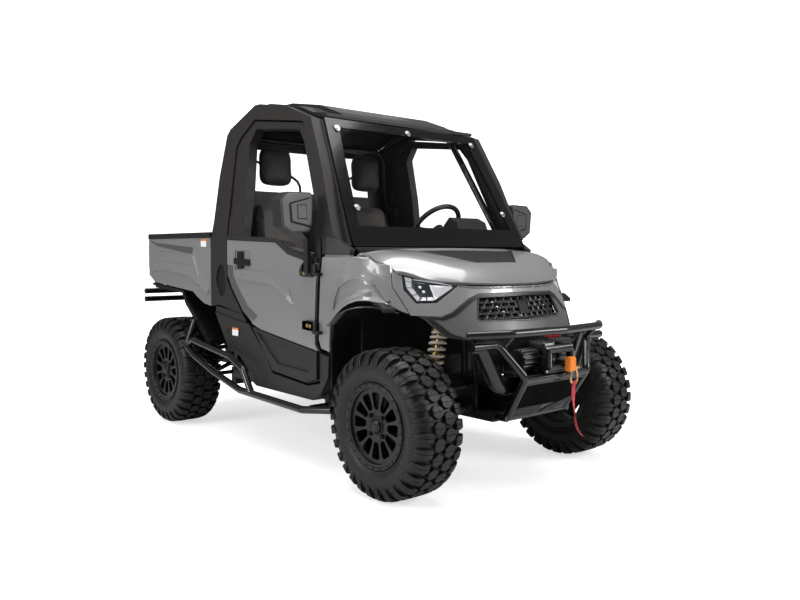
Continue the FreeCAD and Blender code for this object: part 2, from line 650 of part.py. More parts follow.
def powertrain():
    engine = block(-760, -470, -190, 190, 385, 700)
    front_case = block(FRONT_X - 100, FRONT_X + 90, -100, 100, RAIL_HIGH + SEAT_GAP, 480)
    rear_case = block(REAR_X - 110, REAR_X + 110, -120, 120, RAIL_HIGH + SEAT_GAP, 520)
    shaft = rod(V(FRONT_X - 100 - SEAT_GAP, 0, SHAFT_Z), V(-470 + SEAT_GAP, 0, SHAFT_Z), 14)
    link = rod(V(REAR_X + 110 + SEAT_GAP, 0, 450), V(-760 - SEAT_GAP, 0, 450), 26)
    return Part.makeCompound([engine, front_case, rear_case, shaft, link])


def muffler():
    can_x = REAR_X - 215
    can = Part.makeCylinder(75, 360, V(can_x, -180, 640), V(0, 1, 0))
    tail = rod(V(can_x, 150, 640), V(can_x - 140, 150, 640), 20)
    return fused([can, rod(V(can_x, 60, 640), V(-760 - SEAT_GAP, 60, 640), 18), tail])


def wishbone(x, spread, inner_z, outer, radius, pivot_radius):
    """Two legs that meet at the outer end, each with its pivot sleeve."""
    inner_y = -ARM_PLATE_Y - SEAT_GAP - pivot_radius
    pieces = []
    for side in (-1, 1):
        inner = V(x + side * spread, inner_y, inner_z)
        pieces.append(rod(inner, outer, radius))
        pieces.append(rod(inner - V(22, 0, 0), inner + V(22, 0, 0), pivot_radius))
    return pieces


def shock_bridge(x):
    return block(x - 66, x + 66, -436, -404, UPPER_BALL_Z + 10, UPPER_BALL_Z + 27)


def front_arms():
    pin = V(FRONT_X, -KINGPIN_Y, 0)
    lower = wishbone(FRONT_X, 103, 385, V(FRONT_X, -KINGPIN_Y + 14, LOWER_BALL_Z - 6), 14, 20)
    lower.append(rod(pin + V(0, 0, LOWER_BALL_Z - 14), pin + V(0, 0, LOWER_BALL_Z + 14), 20))
    upper = wishbone(FRONT_X, 103, 485, V(FRONT_X, -KINGPIN_Y + 14, UPPER_BALL_Z + 4), 12, 16)
    upper.append(rod(pin + V(0, 0, UPPER_BALL_Z - 12), pin + V(0, 0, UPPER_BALL_Z + 12), 18))
    upper.append(shock_bridge(FRONT_X))
    return Part.makeCompound([both(fused(lower)), both(fused(upper))])


def shock(x):
    """A damper with its coil spring's envelope between two seats."""
    foot = V(x, -420, UPPER_BALL_Z + 30)
    head = V(x, -352, 772)
    along = (head - foot).normalize()
    length = (head - foot).Length
    pieces = [rod(foot, head, 12), rod(foot + along * 25, foot + along * (length * 0.5), 20)]
    for low, high, radius in ((0.2, 0.24, 44), (0.22, 0.92, 29), (0.9, 0.94, 44)):
        pieces.append(rod(foot + along * (length * low), foot + along * (length * high), radius))
    for turn in range(6):
        pieces.append(Part.makeTorus(36, 8, foot + along * (length * (0.28 + 0.115 * turn)), along))
    return fused(pieces)


def front_shocks():
    return both(shock(FRONT_X))


def rear_shocks():
    return both(shock(REAR_X))


def rear_arms():
    pieces = [block(REAR_X - 28, REAR_X + 28, -572, -540, LOWER_BALL_Z - 18, UPPER_BALL_Z + 20)]
    pieces.append(cross_rod(REAR_X, TYRE_RADIUS, -HUB_INNER_Y + SEAT_GAP, -530, 45))
    pieces += wishbone(REAR_X, 103, 385, V(REAR_X, -556, LOWER_BALL_Z), 15, 18)
    pieces += wishbone(REAR_X, 103, 485, V(REAR_X, -556, UPPER_BALL_Z), 15, 18)
    pieces.append(shock_bridge(REAR_X))
    return both(fused(pieces))


def half_shaft(x, case_y, outer_y):
    stub = cross_rod(x, 425, -case_y - 26, -case_y - SEAT_GAP, 18)
    return fused([stub, rod(V(x, -case_y - 16, 425), V(x, -outer_y, TYRE_RADIUS + 5), 13)])


def half_shafts():
    front = half_shaft(FRONT_X, 100, 500)
    rear = half_shaft(REAR_X, 120, 526.5)
    return Part.makeCompound([both(front), both(rear)])


def knuckle():
    upright = block(FRONT_X - 22, FRONT_X + 22, -570, -542, LOWER_BALL_Z + 37, UPPER_BALL_Z - 21)
    pin = rod(V(FRONT_X, -KINGPIN_Y, LOWER_BALL_Z + 14 + SEAT_GAP),
              V(FRONT_X, -KINGPIN_Y, UPPER_BALL_Z - 12 - SEAT_GAP), 12)
    boss = cross_rod(FRONT_X, TYRE_RADIUS, -HUB_INNER_Y + SEAT_GAP, -549, 42)
    arm = slab_z([(FRONT_X + 8, -566), (FRONT_X + 8, -547), (RACK_X + 13, -488), (RACK_X + 8, -511)],
                 TYRE_RADIUS + 46, TYRE_RADIUS + 65.7)
    caliper = block(FRONT_X + 72, FRONT_X + 122, -622, -580, TYRE_RADIUS + 15, TYRE_RADIUS + 80)
    slot = cross_rod(FRONT_X, TYRE_RADIUS, -610, -603, DISC_RADIUS + 2)
    bridge = block(FRONT_X + 10, FRONT_X + 80, -590, -562, TYRE_RADIUS + 47, TYRE_RADIUS + 72)
    return fused([upright, pin, boss, arm, caliper.cut(slot), bridge])


def tie_rods():
    rack = cross_rod(RACK_X, RACK_Z, -240, 240, 16)
    end = V(RACK_X + 25, -500, TYRE_RADIUS + 75)
    right = fused([rod(V(RACK_X, -230, RACK_Z), end, 8), rod(end - V(0, 0, 9), end + V(0, 0, 9), 10)])
    return fused([rack, right, mirrored(right)])


def wheel_rim(centre, side):
    """The rim, its spokes, hub and brake disc about one axle end."""
    half = RIM_WIDTH / 2
    barrel = turned([(RIM_SEAT_RADIUS, -half), (RIM_LIP_RADIUS, -half), (RIM_LIP_RADIUS, -half - 8),
                     (170, -half - 8), (163, -half + 40), (150, -half + 70), (163, half),
                     (RIM_LIP_RADIUS, half + 6), (RIM_LIP_RADIUS, half), (RIM_SEAT_RADIUS, half)], V(0, 0, 0))
    disc = turned([(0, -half + 14), (168, -half + 4), (168, -half + 22), (0, -half + 32)], V(0, 0, 0))
    windows = []
    for spoke in range(12):
        window = slab_y([(74, -9), (84, -17), (140, -27), (151, -20), (151, 20), (140, 27), (84, 17), (74, 9)],
                        -half - 20, -half + 60)
        window.rotate(V(0, 0, 0), V(0, 1, 0), 30.0 * spoke)
        windows.append(window)
    disc = disc.cut(Part.makeCompound(windows))
    hub = turned([(0, -half + 30), (48, -half + 30), (48, 50), (0, 50)], V(0, 0, 0))
    brake = turned([(30, 38), (DISC_RADIUS, 38), (DISC_RADIUS, 43), (30, 43)], V(0, 0, 0))
    rim = fused([barrel, disc, hub, brake])
    if side > 0:
        rim = mirrored(rim)
    rim.translate(centre)
    return rim


def tread_lugs():
    """Shoulder lugs on both sides, with a staggered block between each pair."""
    half = TYRE_WIDTH / 2
    tip = math.sqrt(TYRE_RADIUS ** 2 - (LUG_WIDTH / 2) ** 2)
    root = TYRE_RADIUS - LUG_DEPTH - 8
    shoulder = [(half - 62, root), (half - 60, tip), (half - 20, tip), (half, tip - 20), (half, root - 16),
                (half - 30, root - 16)]
    outline = [(y, -r) for y, r in shoulder]
    base = [slab_x(outline, -LUG_WIDTH / 2, LUG_WIDTH / 2)]
    base.append(slab_x([(-y, z) for y, z in outline], -LUG_WIDTH / 2, LUG_WIDTH / 2))
    lugs = []
    for pitch in range(LUG_PITCHES):
        offset = 20.0 if pitch % 2 else -20.0
        middle = [(offset - 38, -root), (offset - 36, -tip), (offset + 36, -tip), (offset + 38, -root)]
        centre_block = slab_x(middle, -LUG_WIDTH / 2, LUG_WIDTH / 2)
        for shape, turn in ((base[0], 0.0), (base[1], 0.0), (centre_block, 0.5)):
            lug = shape.copy()
            lug.rotate(V(0, 0, 0), V(0, 1, 0), (pitch + turn) * 360.0 / LUG_PITCHES)
            lugs.append(lug)
    return lugs


def wheel_tyre(centre):
    half = TYRE_WIDTH / 2
    tread = TYRE_RADIUS - LUG_DEPTH
    bead = RIM_WIDTH / 2 - SEAT_GAP
    seat = RIM_SEAT_RADIUS + SEAT_GAP
    wall = RIM_LIP_RADIUS + 55
    profile = [(seat, -bead), (RIM_LIP_RADIUS + 1, -bead), (wall, -half + 10), (tread - 26, -half + 5),
               (tread, -half + 32), (tread, half - 32), (tread - 26, half - 5), (wall, half - 10),
               (RIM_LIP_RADIUS + 1, bead), (seat, bead)]
    tyre = turned(profile, V(0, 0, 0)).multiFuse(tread_lugs())
    tyre.translate(centre)
    return tyre


# Bed

BED_FRONT = -556.0
BED_REAR = -1450.0
BED_FLOOR = 925.0
BED_TOP = 1200.0


def bed_box():
    tub = block(BED_REAR, BED_FRONT, -660, 660, BED_FLOOR - 30, BED_TOP)
    hollow = block(BED_REAR + 10, BED_FRONT - 26, -625, 625, BED_FLOOR, BED_TOP + 20)
    doorway = block(BED_REAR - 10, BED_REAR + 20, -625, 625, BED_FLOOR + 30, BED_TOP + 20)
    pieces = [tub.cut(hollow).cut(doorway), block(BED_FRONT - 40, BED_FRONT, -650, 650, BED_TOP - 10, 1235)]
    right = [block(BED_REAR, BED_FRONT, -704, -618, BED_TOP + SEAT_GAP, 1235)]
    right.append(block(BED_REAR, BED_FRONT, -650, -618, BED_TOP - 5, BED_TOP + 10))
    right.append(block(-1380, -580, -352, -332, 863.3, BED_FLOOR - 25))
    eye = block(BED_HINGE_X - 12, BED_HINGE_X + 12, -346, -332, BED_HINGE_Z - 12, BED_FLOOR - 20)
    right.append(eye.cut(cross_rod(BED_HINGE_X, BED_HINGE_Z, -360, -320, PIN_RADIUS + 2 + SEAT_GAP)))
    ear = block(TAILGATE_HINGE_X - 12, BED_REAR + 10, -575, -560, TAILGATE_HINGE_Z - 35, TAILGATE_HINGE_Z + 12)
    right.append(ear.cut(cross_rod(TAILGATE_HINGE_X, TAILGATE_HINGE_Z, -590, -550, PIN_RADIUS + SEAT_GAP)))
    return fused(pieces + right + [mirrored(piece) for piece in right])


def bed_sides():
    outline = [(BED_REAR, BED_TOP), (BED_REAR, 956), (-1362, 910), (-793, 868), (-726, 834), (-640, 800),
               (BED_FRONT, 790), (BED_FRONT, BED_TOP)]
    side = slab_y(outline, -SIDE_Y, -660 - SEAT_GAP)
    raised = slab_y([(-1303, 1120), (-788, 1096), (-700, 960), (-713, 907), (-788, 1032), (-1303, 1060)],
                    -SIDE_Y - 8, -SIDE_Y)
    return both(side.fuse(raised))


def tail_lights():
    return both(block(BED_REAR - 8.3, BED_REAR - SEAT_GAP, -698, -664, 1010, 1160))


def tailgate():
    front = TAILGATE_HINGE_X + 6
    panel = block(front - 26, front, -655, 655, TAILGATE_HINGE_Z - 6, 1228)
    ribs = [block(front - 31, front - 26, -530, 530, z, z + 40) for z in (1000, 1080, 1160)]
    gate = fused([panel] + ribs)
    for y in (-582.0, 553.0):
        gate = gate.cut(block(front - 40, front + 5, y, y + 29, TAILGATE_HINGE_Z - 20, TAILGATE_HINGE_Z + 25))
    pins = [cross_rod(TAILGATE_HINGE_X, TAILGATE_HINGE_Z, y, y + 39, PIN_RADIUS) for y in (-587, 548)]
    return fused([gate] + pins)


def rear_fender_outline(drop, rear_drop):
    """A band above the tyre, down to the skirt ahead of it."""
    top = 2 * TYRE_RADIUS + 202
    ahead = REAR_X + TYRE_RADIUS
    low = [(REAR_X + 117, top - 36), (ahead - 181, top - 106), (ahead - 58, top - 198)]
    high = [(ahead - 38, top - 176), (ahead - 163, top - 82), (REAR_X + 135, top - 20)]
    tip = [(-640, 560), (-600, 548), (-600, 575)]
    band = [(x, z - drop) for x, z in low] + tip + [(x, z - drop) for x, z in high]
    return [(-1417, top - rear_drop)] + band + [(-1417, top + 16 - rear_drop)]


def rear_fenders():
    lip = slab_y(rear_fender_outline(0, 0), -690, -666)
    inner = slab_y(rear_fender_outline(6, 18), -672, -470)
    arm = block(-1000, -980, -480, -320 - SEAT_GAP, 832, 858)
    return both(fused([lip, inner, arm]))


def side_skirts():
    outer = slab_y([(657, 602), (650, 500), (584, 404), (520, 369), (-30, 371), (-102, 398), (-115, 450),
                    (-215, 520), (-346, 549), (-506, 757), (-383, 740), (-245, 723), (-113, 710), (54, 568),
                    (138, 462), (475, 438), (583, 463), (583, 616)], -SIDE_Y, -SIDE_Y + 50)
    panel = slab_y([(-323, 677), (-162, 672), (-114, 626), (-148, 573), (-308, 584), (-376, 660)],
                   -SIDE_Y - 5, -SIDE_Y + 5)
    filler = slab_y([(-506, 756), (-506, 792), (-336, 780), (-190, 757), (-160, 733), (-150, 708),
                     (-245, 712), (-383, 730)], -SIDE_Y + 8, -SIDE_Y + 45)
    sill = block(-360, 600, -660, -640 - SEAT_GAP, 376, 428)
    return both(fused([outer.cut(panel), filler, sill]))


def step_bars():
    y = -760.0
    rear = REAR_X + TYRE_RADIUS
    low = bent_bar([V(rear - 2, -714, 694), V(rear - 26, y, 535), V(-660, y, 480), V(-413, y, 408),
                    V(-109, y, 343), V(510, y, 328), V(690, -705, 345)], 19, 35)
    top = bent_bar([V(-679, y, 575), V(-207, y, 519), V(-73, y, 466), V(12, y, 345)], 19, 35)
    joint = rod(V(rear - 23, y + 4, 540), V(-679, y, 575), 17)
    posts = [cross_rod(-395, 402, -755, -640 - SEAT_GAP, 12), cross_rod(560, 347, -745, -640 - SEAT_GAP, 10)]
    return both(fused([low, top, joint] + posts))


def front_guard():
    top = bent_bar([V(1389, -488, 753), V(1500, -330, 760), V(1545, 0, 762), V(1500, 330, 760),
                    V(1389, 488, 753)], 19, 120)
    beam = bent_bar([V(1372, -385, 690), V(1380, -272, 500), V(1380, 272, 500), V(1372, 385, 690)], 40, 75)
    right = [bent_bar([V(1406, -470, 702), V(1425, -330, 705), V(1504, -225, 552), V(1378, -207, 352)], 19, 40)]
    right.append(rod(V(RAIL_FRONT + SEAT_GAP, -225, 352), V(1395, -225, 352), 15))
    right.append(rod(V(1440, -300, 698), V(1500, -300, 758), 14))
    pieces = [top, beam, cross_rod(1500, 544, -225, 225, 16), cross_rod(1378, 352, -210, 210, 16)]
    pieces.append(slab_y([(1384, 352), (1390, 352), (1500, 520), (1500, 532)], -205, 205))
    pieces.append(block(1335, 1495, -215, 215, 556, 562))
    return fused(pieces + right + [mirrored(piece) for piece in right])


def winch():
    tray = 562 + SEAT_GAP
    pieces = [cross_rod(1425, 626, -200, -70, 46), cross_rod(1425, 626, -80, 60, 30),
              cross_rod(1425, 626, 50, 170, 46), block(1385, 1465, -80, 60, tray, 590)]
    plate = block(1496, 1512, -98, 98, tray, 690).cut(block(1480, 1520, -74, 74, 600, 655))
    pieces += [plate, block(1385, 1504, -80, 80, tray, 572)]
    pieces += [rod(V(1520, y, 590), V(1520, y, 662), 11) for y in (-84, 84)]
    pieces += [cross_rod(1520, z, -88, 88, 11) for z in (588, 664)]
    return fused(pieces)


HOOK_Y = 70.0
HOOK_X = 1546.0


def winch_hook():
    line = rod(V(1457.7, 0, 630), V(HOOK_X, HOOK_Y, 612), 4)
    end = block(HOOK_X - 12, HOOK_X + 12, HOOK_Y - 16, HOOK_Y + 16, 578, 640)
    shank = rod(V(HOOK_X, HOOK_Y, 580), V(HOOK_X, HOOK_Y, 549), 8)
    ring = Part.makeTorus(20, 6, V(HOOK_X, HOOK_Y, 528), V(0, 1, 0))
    return fused([line, end, shank, ring])


STRAP_ROUTE = [(70, 501.7), (64, 450), (84, 339), (101, 280), (148, 243)]
STRAP_WIDTH = 25.0


def winch_strap():
    """The webbing on the hook, flat along its y, z route."""
    left = [(y - STRAP_WIDTH / 2, z) for y, z in STRAP_ROUTE]
    right = [(y + STRAP_WIDTH / 2, z) for y, z in STRAP_ROUTE]
    return slab_x(left + right[::-1], HOOK_X - 2, HOOK_X + 2)


def rear_bumper():
    pieces = [cross_rod(-1546, z, -690, 690, 19) for z in (840, 784)]
    for y in (-300, 300):
        pieces.append(rod(V(-1546, y, 768), V(-1430 - SEAT_GAP, y, 768), 14))
        pieces.append(block(-1552, -1540, y - 20, y + 20, 760, 840))
    return fused(pieces)


def build():
    makers = [main_frame, powertrain, muffler, floor_tub, dashboard, steering_column, steering_wheel,
              seat_pads, seat_belts, roll_cage, cab_side_arches, cab_rear_panel, windshield_frame,
              cab_glass, roof, hood, hood_insert, front_fenders, front_fascia, headlights, grille,
              bumper_cover, wheel_liners, front_guard, winch, winch_hook, winch_strap, side_skirts,
              step_bars, front_arms, front_shocks, rear_arms, rear_shocks, half_shafts, rear_bumper,
              rear_fenders, tie_rods, bed_box, bed_sides, tail_lights, tailgate]
    parts = {maker.__name__: maker() for maker in makers}
    right_door = {"frame": door_frame(), "panel": door_panel(), "glass": door_glass(), "mirror": door_mirror()}
    for name, shape in right_door.items():
        parts["door_right_" + name] = shape
        parts["door_left_" + name] = mirrored(shape)
    parts["knuckle_right"] = knuckle()
    parts["knuckle_left"] = mirrored(knuckle())
    corners = {"fr": (FRONT_X, -1), "fl": (FRONT_X, 1), "rr": (REAR_X, -1), "rl": (REAR_X, 1)}
    for name, (x, side) in corners.items():
        centre = V(x, side * HALF_TRACK, TYRE_RADIUS)
        parts["rim_" + name] = wheel_rim(centre, side)
        parts["tyre_" + name] = wheel_tyre(centre)
    return parts


os.makedirs("parts", exist_ok=True)
for name, shape in build().items():
    shape.exportStep("parts/" + name + ".step")
    print(name, shape.isValid(), len(shape.Solids), round(shape.Volume / 1e6, 2))
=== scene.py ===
# %% [markdown]
# A side by side utility vehicle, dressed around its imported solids.
# The solids already have the right places and sizes, so this lesson only
# gives them finishes and adds what is too fine for them: tread, coil springs,
# padded seats, lamps, a mesh grille, fasteners and webbing.
# Everything is in metres, +X forward, +Y to the driver's left, +Z up.

# %% Load the frame
import math

import bmesh
import bpy
import numpy as np
from mathutils import Matrix, Vector
from mathutils.bvhtree import BVHTree


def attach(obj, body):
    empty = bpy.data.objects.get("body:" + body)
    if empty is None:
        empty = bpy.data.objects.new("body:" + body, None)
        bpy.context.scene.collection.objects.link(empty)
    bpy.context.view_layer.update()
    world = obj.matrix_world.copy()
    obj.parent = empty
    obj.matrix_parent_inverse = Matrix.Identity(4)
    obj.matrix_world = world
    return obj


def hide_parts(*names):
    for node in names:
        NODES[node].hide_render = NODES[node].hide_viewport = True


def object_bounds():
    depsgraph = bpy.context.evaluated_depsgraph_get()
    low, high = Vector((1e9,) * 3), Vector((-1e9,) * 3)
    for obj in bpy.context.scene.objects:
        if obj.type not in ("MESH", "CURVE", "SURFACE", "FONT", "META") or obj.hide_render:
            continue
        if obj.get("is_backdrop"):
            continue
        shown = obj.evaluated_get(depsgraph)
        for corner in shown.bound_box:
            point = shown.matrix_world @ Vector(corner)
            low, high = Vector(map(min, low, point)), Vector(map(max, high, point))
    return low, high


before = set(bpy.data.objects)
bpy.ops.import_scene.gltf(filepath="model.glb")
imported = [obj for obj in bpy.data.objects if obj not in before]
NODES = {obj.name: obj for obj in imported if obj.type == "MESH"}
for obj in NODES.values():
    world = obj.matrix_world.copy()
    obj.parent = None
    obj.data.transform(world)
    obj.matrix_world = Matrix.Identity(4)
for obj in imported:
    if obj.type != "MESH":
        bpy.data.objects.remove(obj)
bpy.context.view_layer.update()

# %% [markdown]
# The camera comes first. The photograph was taken from ahead of the right
# front wheel at chest height. Its three directions are worked out from a turn
# about the vertical and a small tilt, and the lens from its width in pixels.

# %% Camera
PHOTO_WIDTH = 800.0
FOCAL_PIXELS = 782.6
SENSOR_WIDTH = 36.0
CAMERA_PLACE = Vector((3.7591, -2.9392, 1.1215))
CAMERA_YAW = math.radians(139.195)
CAMERA_PITCH = math.radians(-3.449)
CAMERA_ROLL = math.radians(0.155)

forward = Vector((math.cos(CAMERA_PITCH) * math.cos(CAMERA_YAW),
                  math.cos(CAMERA_PITCH) * math.sin(CAMERA_YAW), math.sin(CAMERA_PITCH)))
level_right = forward.cross(Vector((0, 0, 1))).normalized()
level_up = level_right.cross(forward)
camera_right = level_right * math.cos(CAMERA_ROLL) + level_up * math.sin(CAMERA_ROLL)
camera_up = level_up * math.cos(CAMERA_ROLL) - level_right * math.sin(CAMERA_ROLL)

camera_data = bpy.data.cameras.new("camera")
camera_data.sensor_width = SENSOR_WIDTH
camera_data.lens = FOCAL_PIXELS / PHOTO_WIDTH * SENSOR_WIDTH
camera_data.shift_x = 0.0041
camera_data.shift_y = -0.0018
camera = bpy.data.objects.new("camera", camera_data)
bpy.context.scene.collection.objects.link(camera)
camera.matrix_world = Matrix((
    (camera_right.x, camera_up.x, -forward.x, CAMERA_PLACE.x),
    (camera_right.y, camera_up.y, -forward.y, CAMERA_PLACE.y),
    (camera_right.z, camera_up.z, -forward.z, CAMERA_PLACE.z),
    (0, 0, 0, 1)))
bpy.context.scene.camera = camera
bpy.context.scene.view_settings.view_transform = "Standard"
print("lens", round(camera_data.lens, 2), "mm")

# %% [markdown]
# A mesh here is a grid of points worked out as whole arrays. These helpers
# join neighbouring points with quads, put the arrays into a mesh, and carry a
# ring of points along a path.

# %% Mesh helpers
def grid_faces(rows, columns, wrap_rows=False, wrap_columns=False):
    """Quads between neighbours of a grid of rows by columns points."""
    row = np.arange(rows if wrap_rows else rows - 1)
    column = np.arange(columns if wrap_columns else columns - 1)
    row, column = np.meshgrid(row, column, indexing="ij")
    next_row = (row + 1) % rows
    next_column = (column + 1) % columns
    corners = [row * columns + column, row * columns + next_column,
               next_row * columns + next_column, next_row * columns + column]
    return np.stack(corners, -1).reshape(-1, 4).tolist()


def shifted(faces, count):
    """The same faces for points that start further down a longer list."""
    return [[index + count for index in face] for face in faces]


def add_piece(name, points, faces, finish, body, slot, smooth=40.0):
    """A mesh object from points and faces. It rides on a body."""
    mesh = bpy.data.meshes.new(name)
    mesh.from_pydata(np.asarray(points, float).reshape(-1, 3).tolist(), [], faces)
    mesh.materials.append(finish)
    obj = bpy.data.objects.new(name, mesh)
    bpy.context.scene.collection.objects.link(obj)
    face_outwards(obj)
    if smooth:
        mesh.polygons.foreach_set("use_smooth", np.ones(len(mesh.polygons), bool))
        mesh.set_sharp_from_angle(angle=math.radians(smooth))
    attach(obj, body)
    return obj


def face_outwards(obj):
    """Turns the faces of each closed part outwards."""
    work = bmesh.new()
    work.from_mesh(obj.data)
    bmesh.ops.recalc_face_normals(work, faces=work.faces)
    work.to_mesh(obj.data)
    work.free()


def joined(parts):
    """One list of points and faces from several (points, faces) pairs."""
    points = []
    faces = []
    count = 0
    for part_points, part_faces in parts:
        flat = np.asarray(part_points, float).reshape(-1, 3)
        points.append(flat)
        faces += shifted(part_faces, count)
        count += len(flat)
    return np.concatenate(points), faces


def add_parts(name, parts, finish, body, slot, smooth=40.0):
    """One piece from several (points, faces) pairs."""
    points, faces = joined(parts)
    return add_piece(name, points, faces, finish, body, slot, smooth)


print("helpers ready: grids, pieces and joined parts")

# %% [markdown]
# Two families of round forms recur here: a tube carried along a path, for
# wires, hoops and the hook, and a ring turned about an axle, for tyres, rims
# and the rope on its drum. Both are a small circle or profile times a path.

# %% Tubes and rings
def tube(path, radius, sides=12, up=(0.0, 0.0, 1.0)):
    """A round tube: at each point of the path a circle square to its run, from
    the cosine and the sine of a full turn."""
    path = np.asarray(path, float)
    run = np.gradient(path, axis=0)
    run /= np.linalg.norm(run, axis=1, keepdims=True)
    side = np.cross(run, np.asarray(up, float))
    side /= np.linalg.norm(side, axis=1, keepdims=True)
    over = np.cross(side, run)
    turn = np.linspace(0, 2 * np.pi, sides, endpoint=False)
    ring = side[:, None] * np.cos(turn)[:, None] + over[:, None] * np.sin(turn)[:, None]
    points = path[:, None] + ring * radius
    faces = grid_faces(len(path), sides, wrap_columns=True)
    faces.append(list(range(sides)))
    faces.append([(len(path) - 1) * sides + index for index in range(sides)][::-1])
    return points, faces


def revolved(profile, centre, steps, side=1.0):
    """A ring about an axle along y, from radius and width pairs: each pair goes
    round by the sine and the cosine of the turn times its radius."""
    profile = np.asarray(profile, float)
    turn = np.linspace(0, 2 * np.pi, steps, endpoint=False)[:, None]
    radius, width = profile[None, :, 0], profile[None, :, 1]
    points = np.stack([centre[0] + radius * np.sin(turn),
                       centre[1] + side * width + 0 * turn,
                       centre[2] - radius * np.cos(turn)], -1)
    return points, grid_faces(steps, len(profile), wrap_rows=True)


print("helpers ready: tubes and rings")

# %% [markdown]
# Pressed and moulded details are plates and bands that stand on a surface. An
# outline in two measures is lifted in the third, and a place function bends
# the result onto the nose, a door or any other face. The same outline then
# serves a flat door and a curved nose.

# %% Plates and bands
def raised(outline, low, high, bevel, place):
    """A plate with a bevelled rim. Its outline rises from low, turns in by the
    bevel and closes over the top. place maps arrays a, b, height to points."""
    outline = np.asarray(outline, float)
    middle = outline.mean(0)
    reach = np.linalg.norm(outline - middle, axis=1, keepdims=True)
    inner = outline + (middle - outline) / reach * bevel
    rings = [(outline, low), (outline, high - bevel), (inner, high)]
    points = [place(ring[:, 0], ring[:, 1], np.full(len(ring), height)) for ring, height in rings]
    count = len(outline)
    faces = grid_faces(3, count, wrap_columns=True)
    faces.append(list(range(count)))
    faces.append([2 * count + index for index in range(count)][::-1])
    return np.stack(points), faces


def polygon(sides, radius, middle=(0.0, 0.0), start=0.0):
    """The corners of a regular outline."""
    turn = np.arange(sides) * 2 * np.pi / sides + start
    return np.stack([middle[0] + radius * np.cos(turn), middle[1] + radius * np.sin(turn)], -1)


def divided(path, steps):
    """An open line with more points on each run, to follow a curved surface."""
    path = np.asarray(path, float)
    share = np.arange(steps)[None, :, None] / steps
    runs = (path[:-1, None] * (1 - share) + path[1:, None] * share).reshape(-1, 2)
    return np.concatenate([runs, path[-1:]])


def strip(first, second, heights, place, steps=4):
    """A band between two lines. heights gives the low and the high side of
    its first edge, then the high and the low side of its second edge."""
    first, second = divided(first, steps), divided(second, steps)
    rings = [place(line[:, 0], line[:, 1], np.full(len(line), height))
             for line, height in zip((first, first, second, second), heights)]
    faces = grid_faces(len(first), 4, wrap_columns=True)
    last = len(first) * 4
    faces += [[0, 1, 2, 3], [last - 1, last - 2, last - 3, last - 4]]
    return np.stack(rings, 1), faces


def closed(outline):
    """The same outline with its first corner repeated at its end."""
    return list(outline) + [outline[0]]


def grown(outline, distance):
    """An outline moved outwards from its middle by a distance."""
    outline = np.asarray(outline, float)
    middle = outline.mean(0)
    reach = np.linalg.norm(outline - middle, axis=1, keepdims=True)
    return outline + (outline - middle) / reach * distance


def rounded(outline, radius, steps=4):
    """An outline with its corners rounded: from a point on one side, past the
    corner, to a point on the next, along a curve of the second degree."""
    outline = np.asarray(outline, float)
    before = np.roll(outline, 1, 0) - outline
    after = np.roll(outline, -1, 0) - outline
    before_length = np.linalg.norm(before, axis=1, keepdims=True)
    after_length = np.linalg.norm(after, axis=1, keepdims=True)
    cut = np.minimum(radius, 0.45 * np.minimum(before_length, after_length))
    start = outline + before / before_length * cut
    end = outline + after / after_length * cut
    share = np.linspace(0, 1, steps)[None, :, None]
    swept = (start[:, None] * (1 - share) ** 2 + 2 * outline[:, None] * share * (1 - share)
             + end[:, None] * share ** 2)
    return swept.reshape(-1, 2)


def beside(side, offset):
    """Places length, height and lift on an upright plane at the vehicle's side."""
    def place(x, z, lift):
        return np.stack([x, side * (offset + lift), z], -1)
    return place


def facing(x):
    """Places width, height and lift on a plane square to x."""
    def place(y, z, lift):
        return np.stack([x + lift, y, z], -1)
    return place


SIDES = {"right": -1.0, "left": 1.0}
print("helpers ready: plates and bands")

# %% [markdown]
# Finishes. Painted, moulded and cast surfaces differ in three ways: the spread
# of their colour, how sharp their reflection is, and the grain that breaks it.
# One function therefore builds them all from noise in Object coordinates.
# A Bevel node rounds the shading of hard edges, as a real edge is never sharp.

# %% Finish helper
def new_material(name):
    """A material with its node tree, its shader and Object coordinates."""
    material = bpy.data.materials.new(name)
    material.use_nodes = True
    tree = material.node_tree
    shader = tree.nodes["Principled BSDF"]
    place = tree.nodes.new("ShaderNodeTexCoord")
    return material, tree, shader, place.outputs["Object"]


def noise(tree, place, size, detail=3.0):
    """Soft random values with features of about that size in metres."""
    node = tree.nodes.new("ShaderNodeTexNoise")
    node.inputs["Scale"].default_value = 1.0 / size
    node.inputs["Detail"].default_value = detail
    tree.links.new(place, node.inputs["Vector"])
    return node.outputs["Fac"]


def between(tree, factor, low, high, start=0.3, end=0.7):
    """Maps a factor onto the range from low to high."""
    node = tree.nodes.new("ShaderNodeMapRange")
    node.inputs["From Min"].default_value = start
    node.inputs["From Max"].default_value = end
    node.inputs["To Min"].default_value = low
    node.inputs["To Max"].default_value = high
    tree.links.new(factor, node.inputs["Value"])
    return node.outputs["Result"]


def blended(tree, factor, first, second):
    """A colour between two colours or sockets."""
    node = tree.nodes.new("ShaderNodeMix")
    node.data_type = "RGBA"
    tree.links.new(factor, node.inputs["Factor"])
    for socket, value in ((node.inputs["A"], first), (node.inputs["B"], second)):
        if isinstance(value, tuple):
            socket.default_value = (*value, 1.0)
        else:
            tree.links.new(value, socket)
    return node.outputs["Result"]


def scaled(colour, share):
    """A colour times a share, kept within one."""
    return tuple(min(1.0, channel * share) for channel in colour)


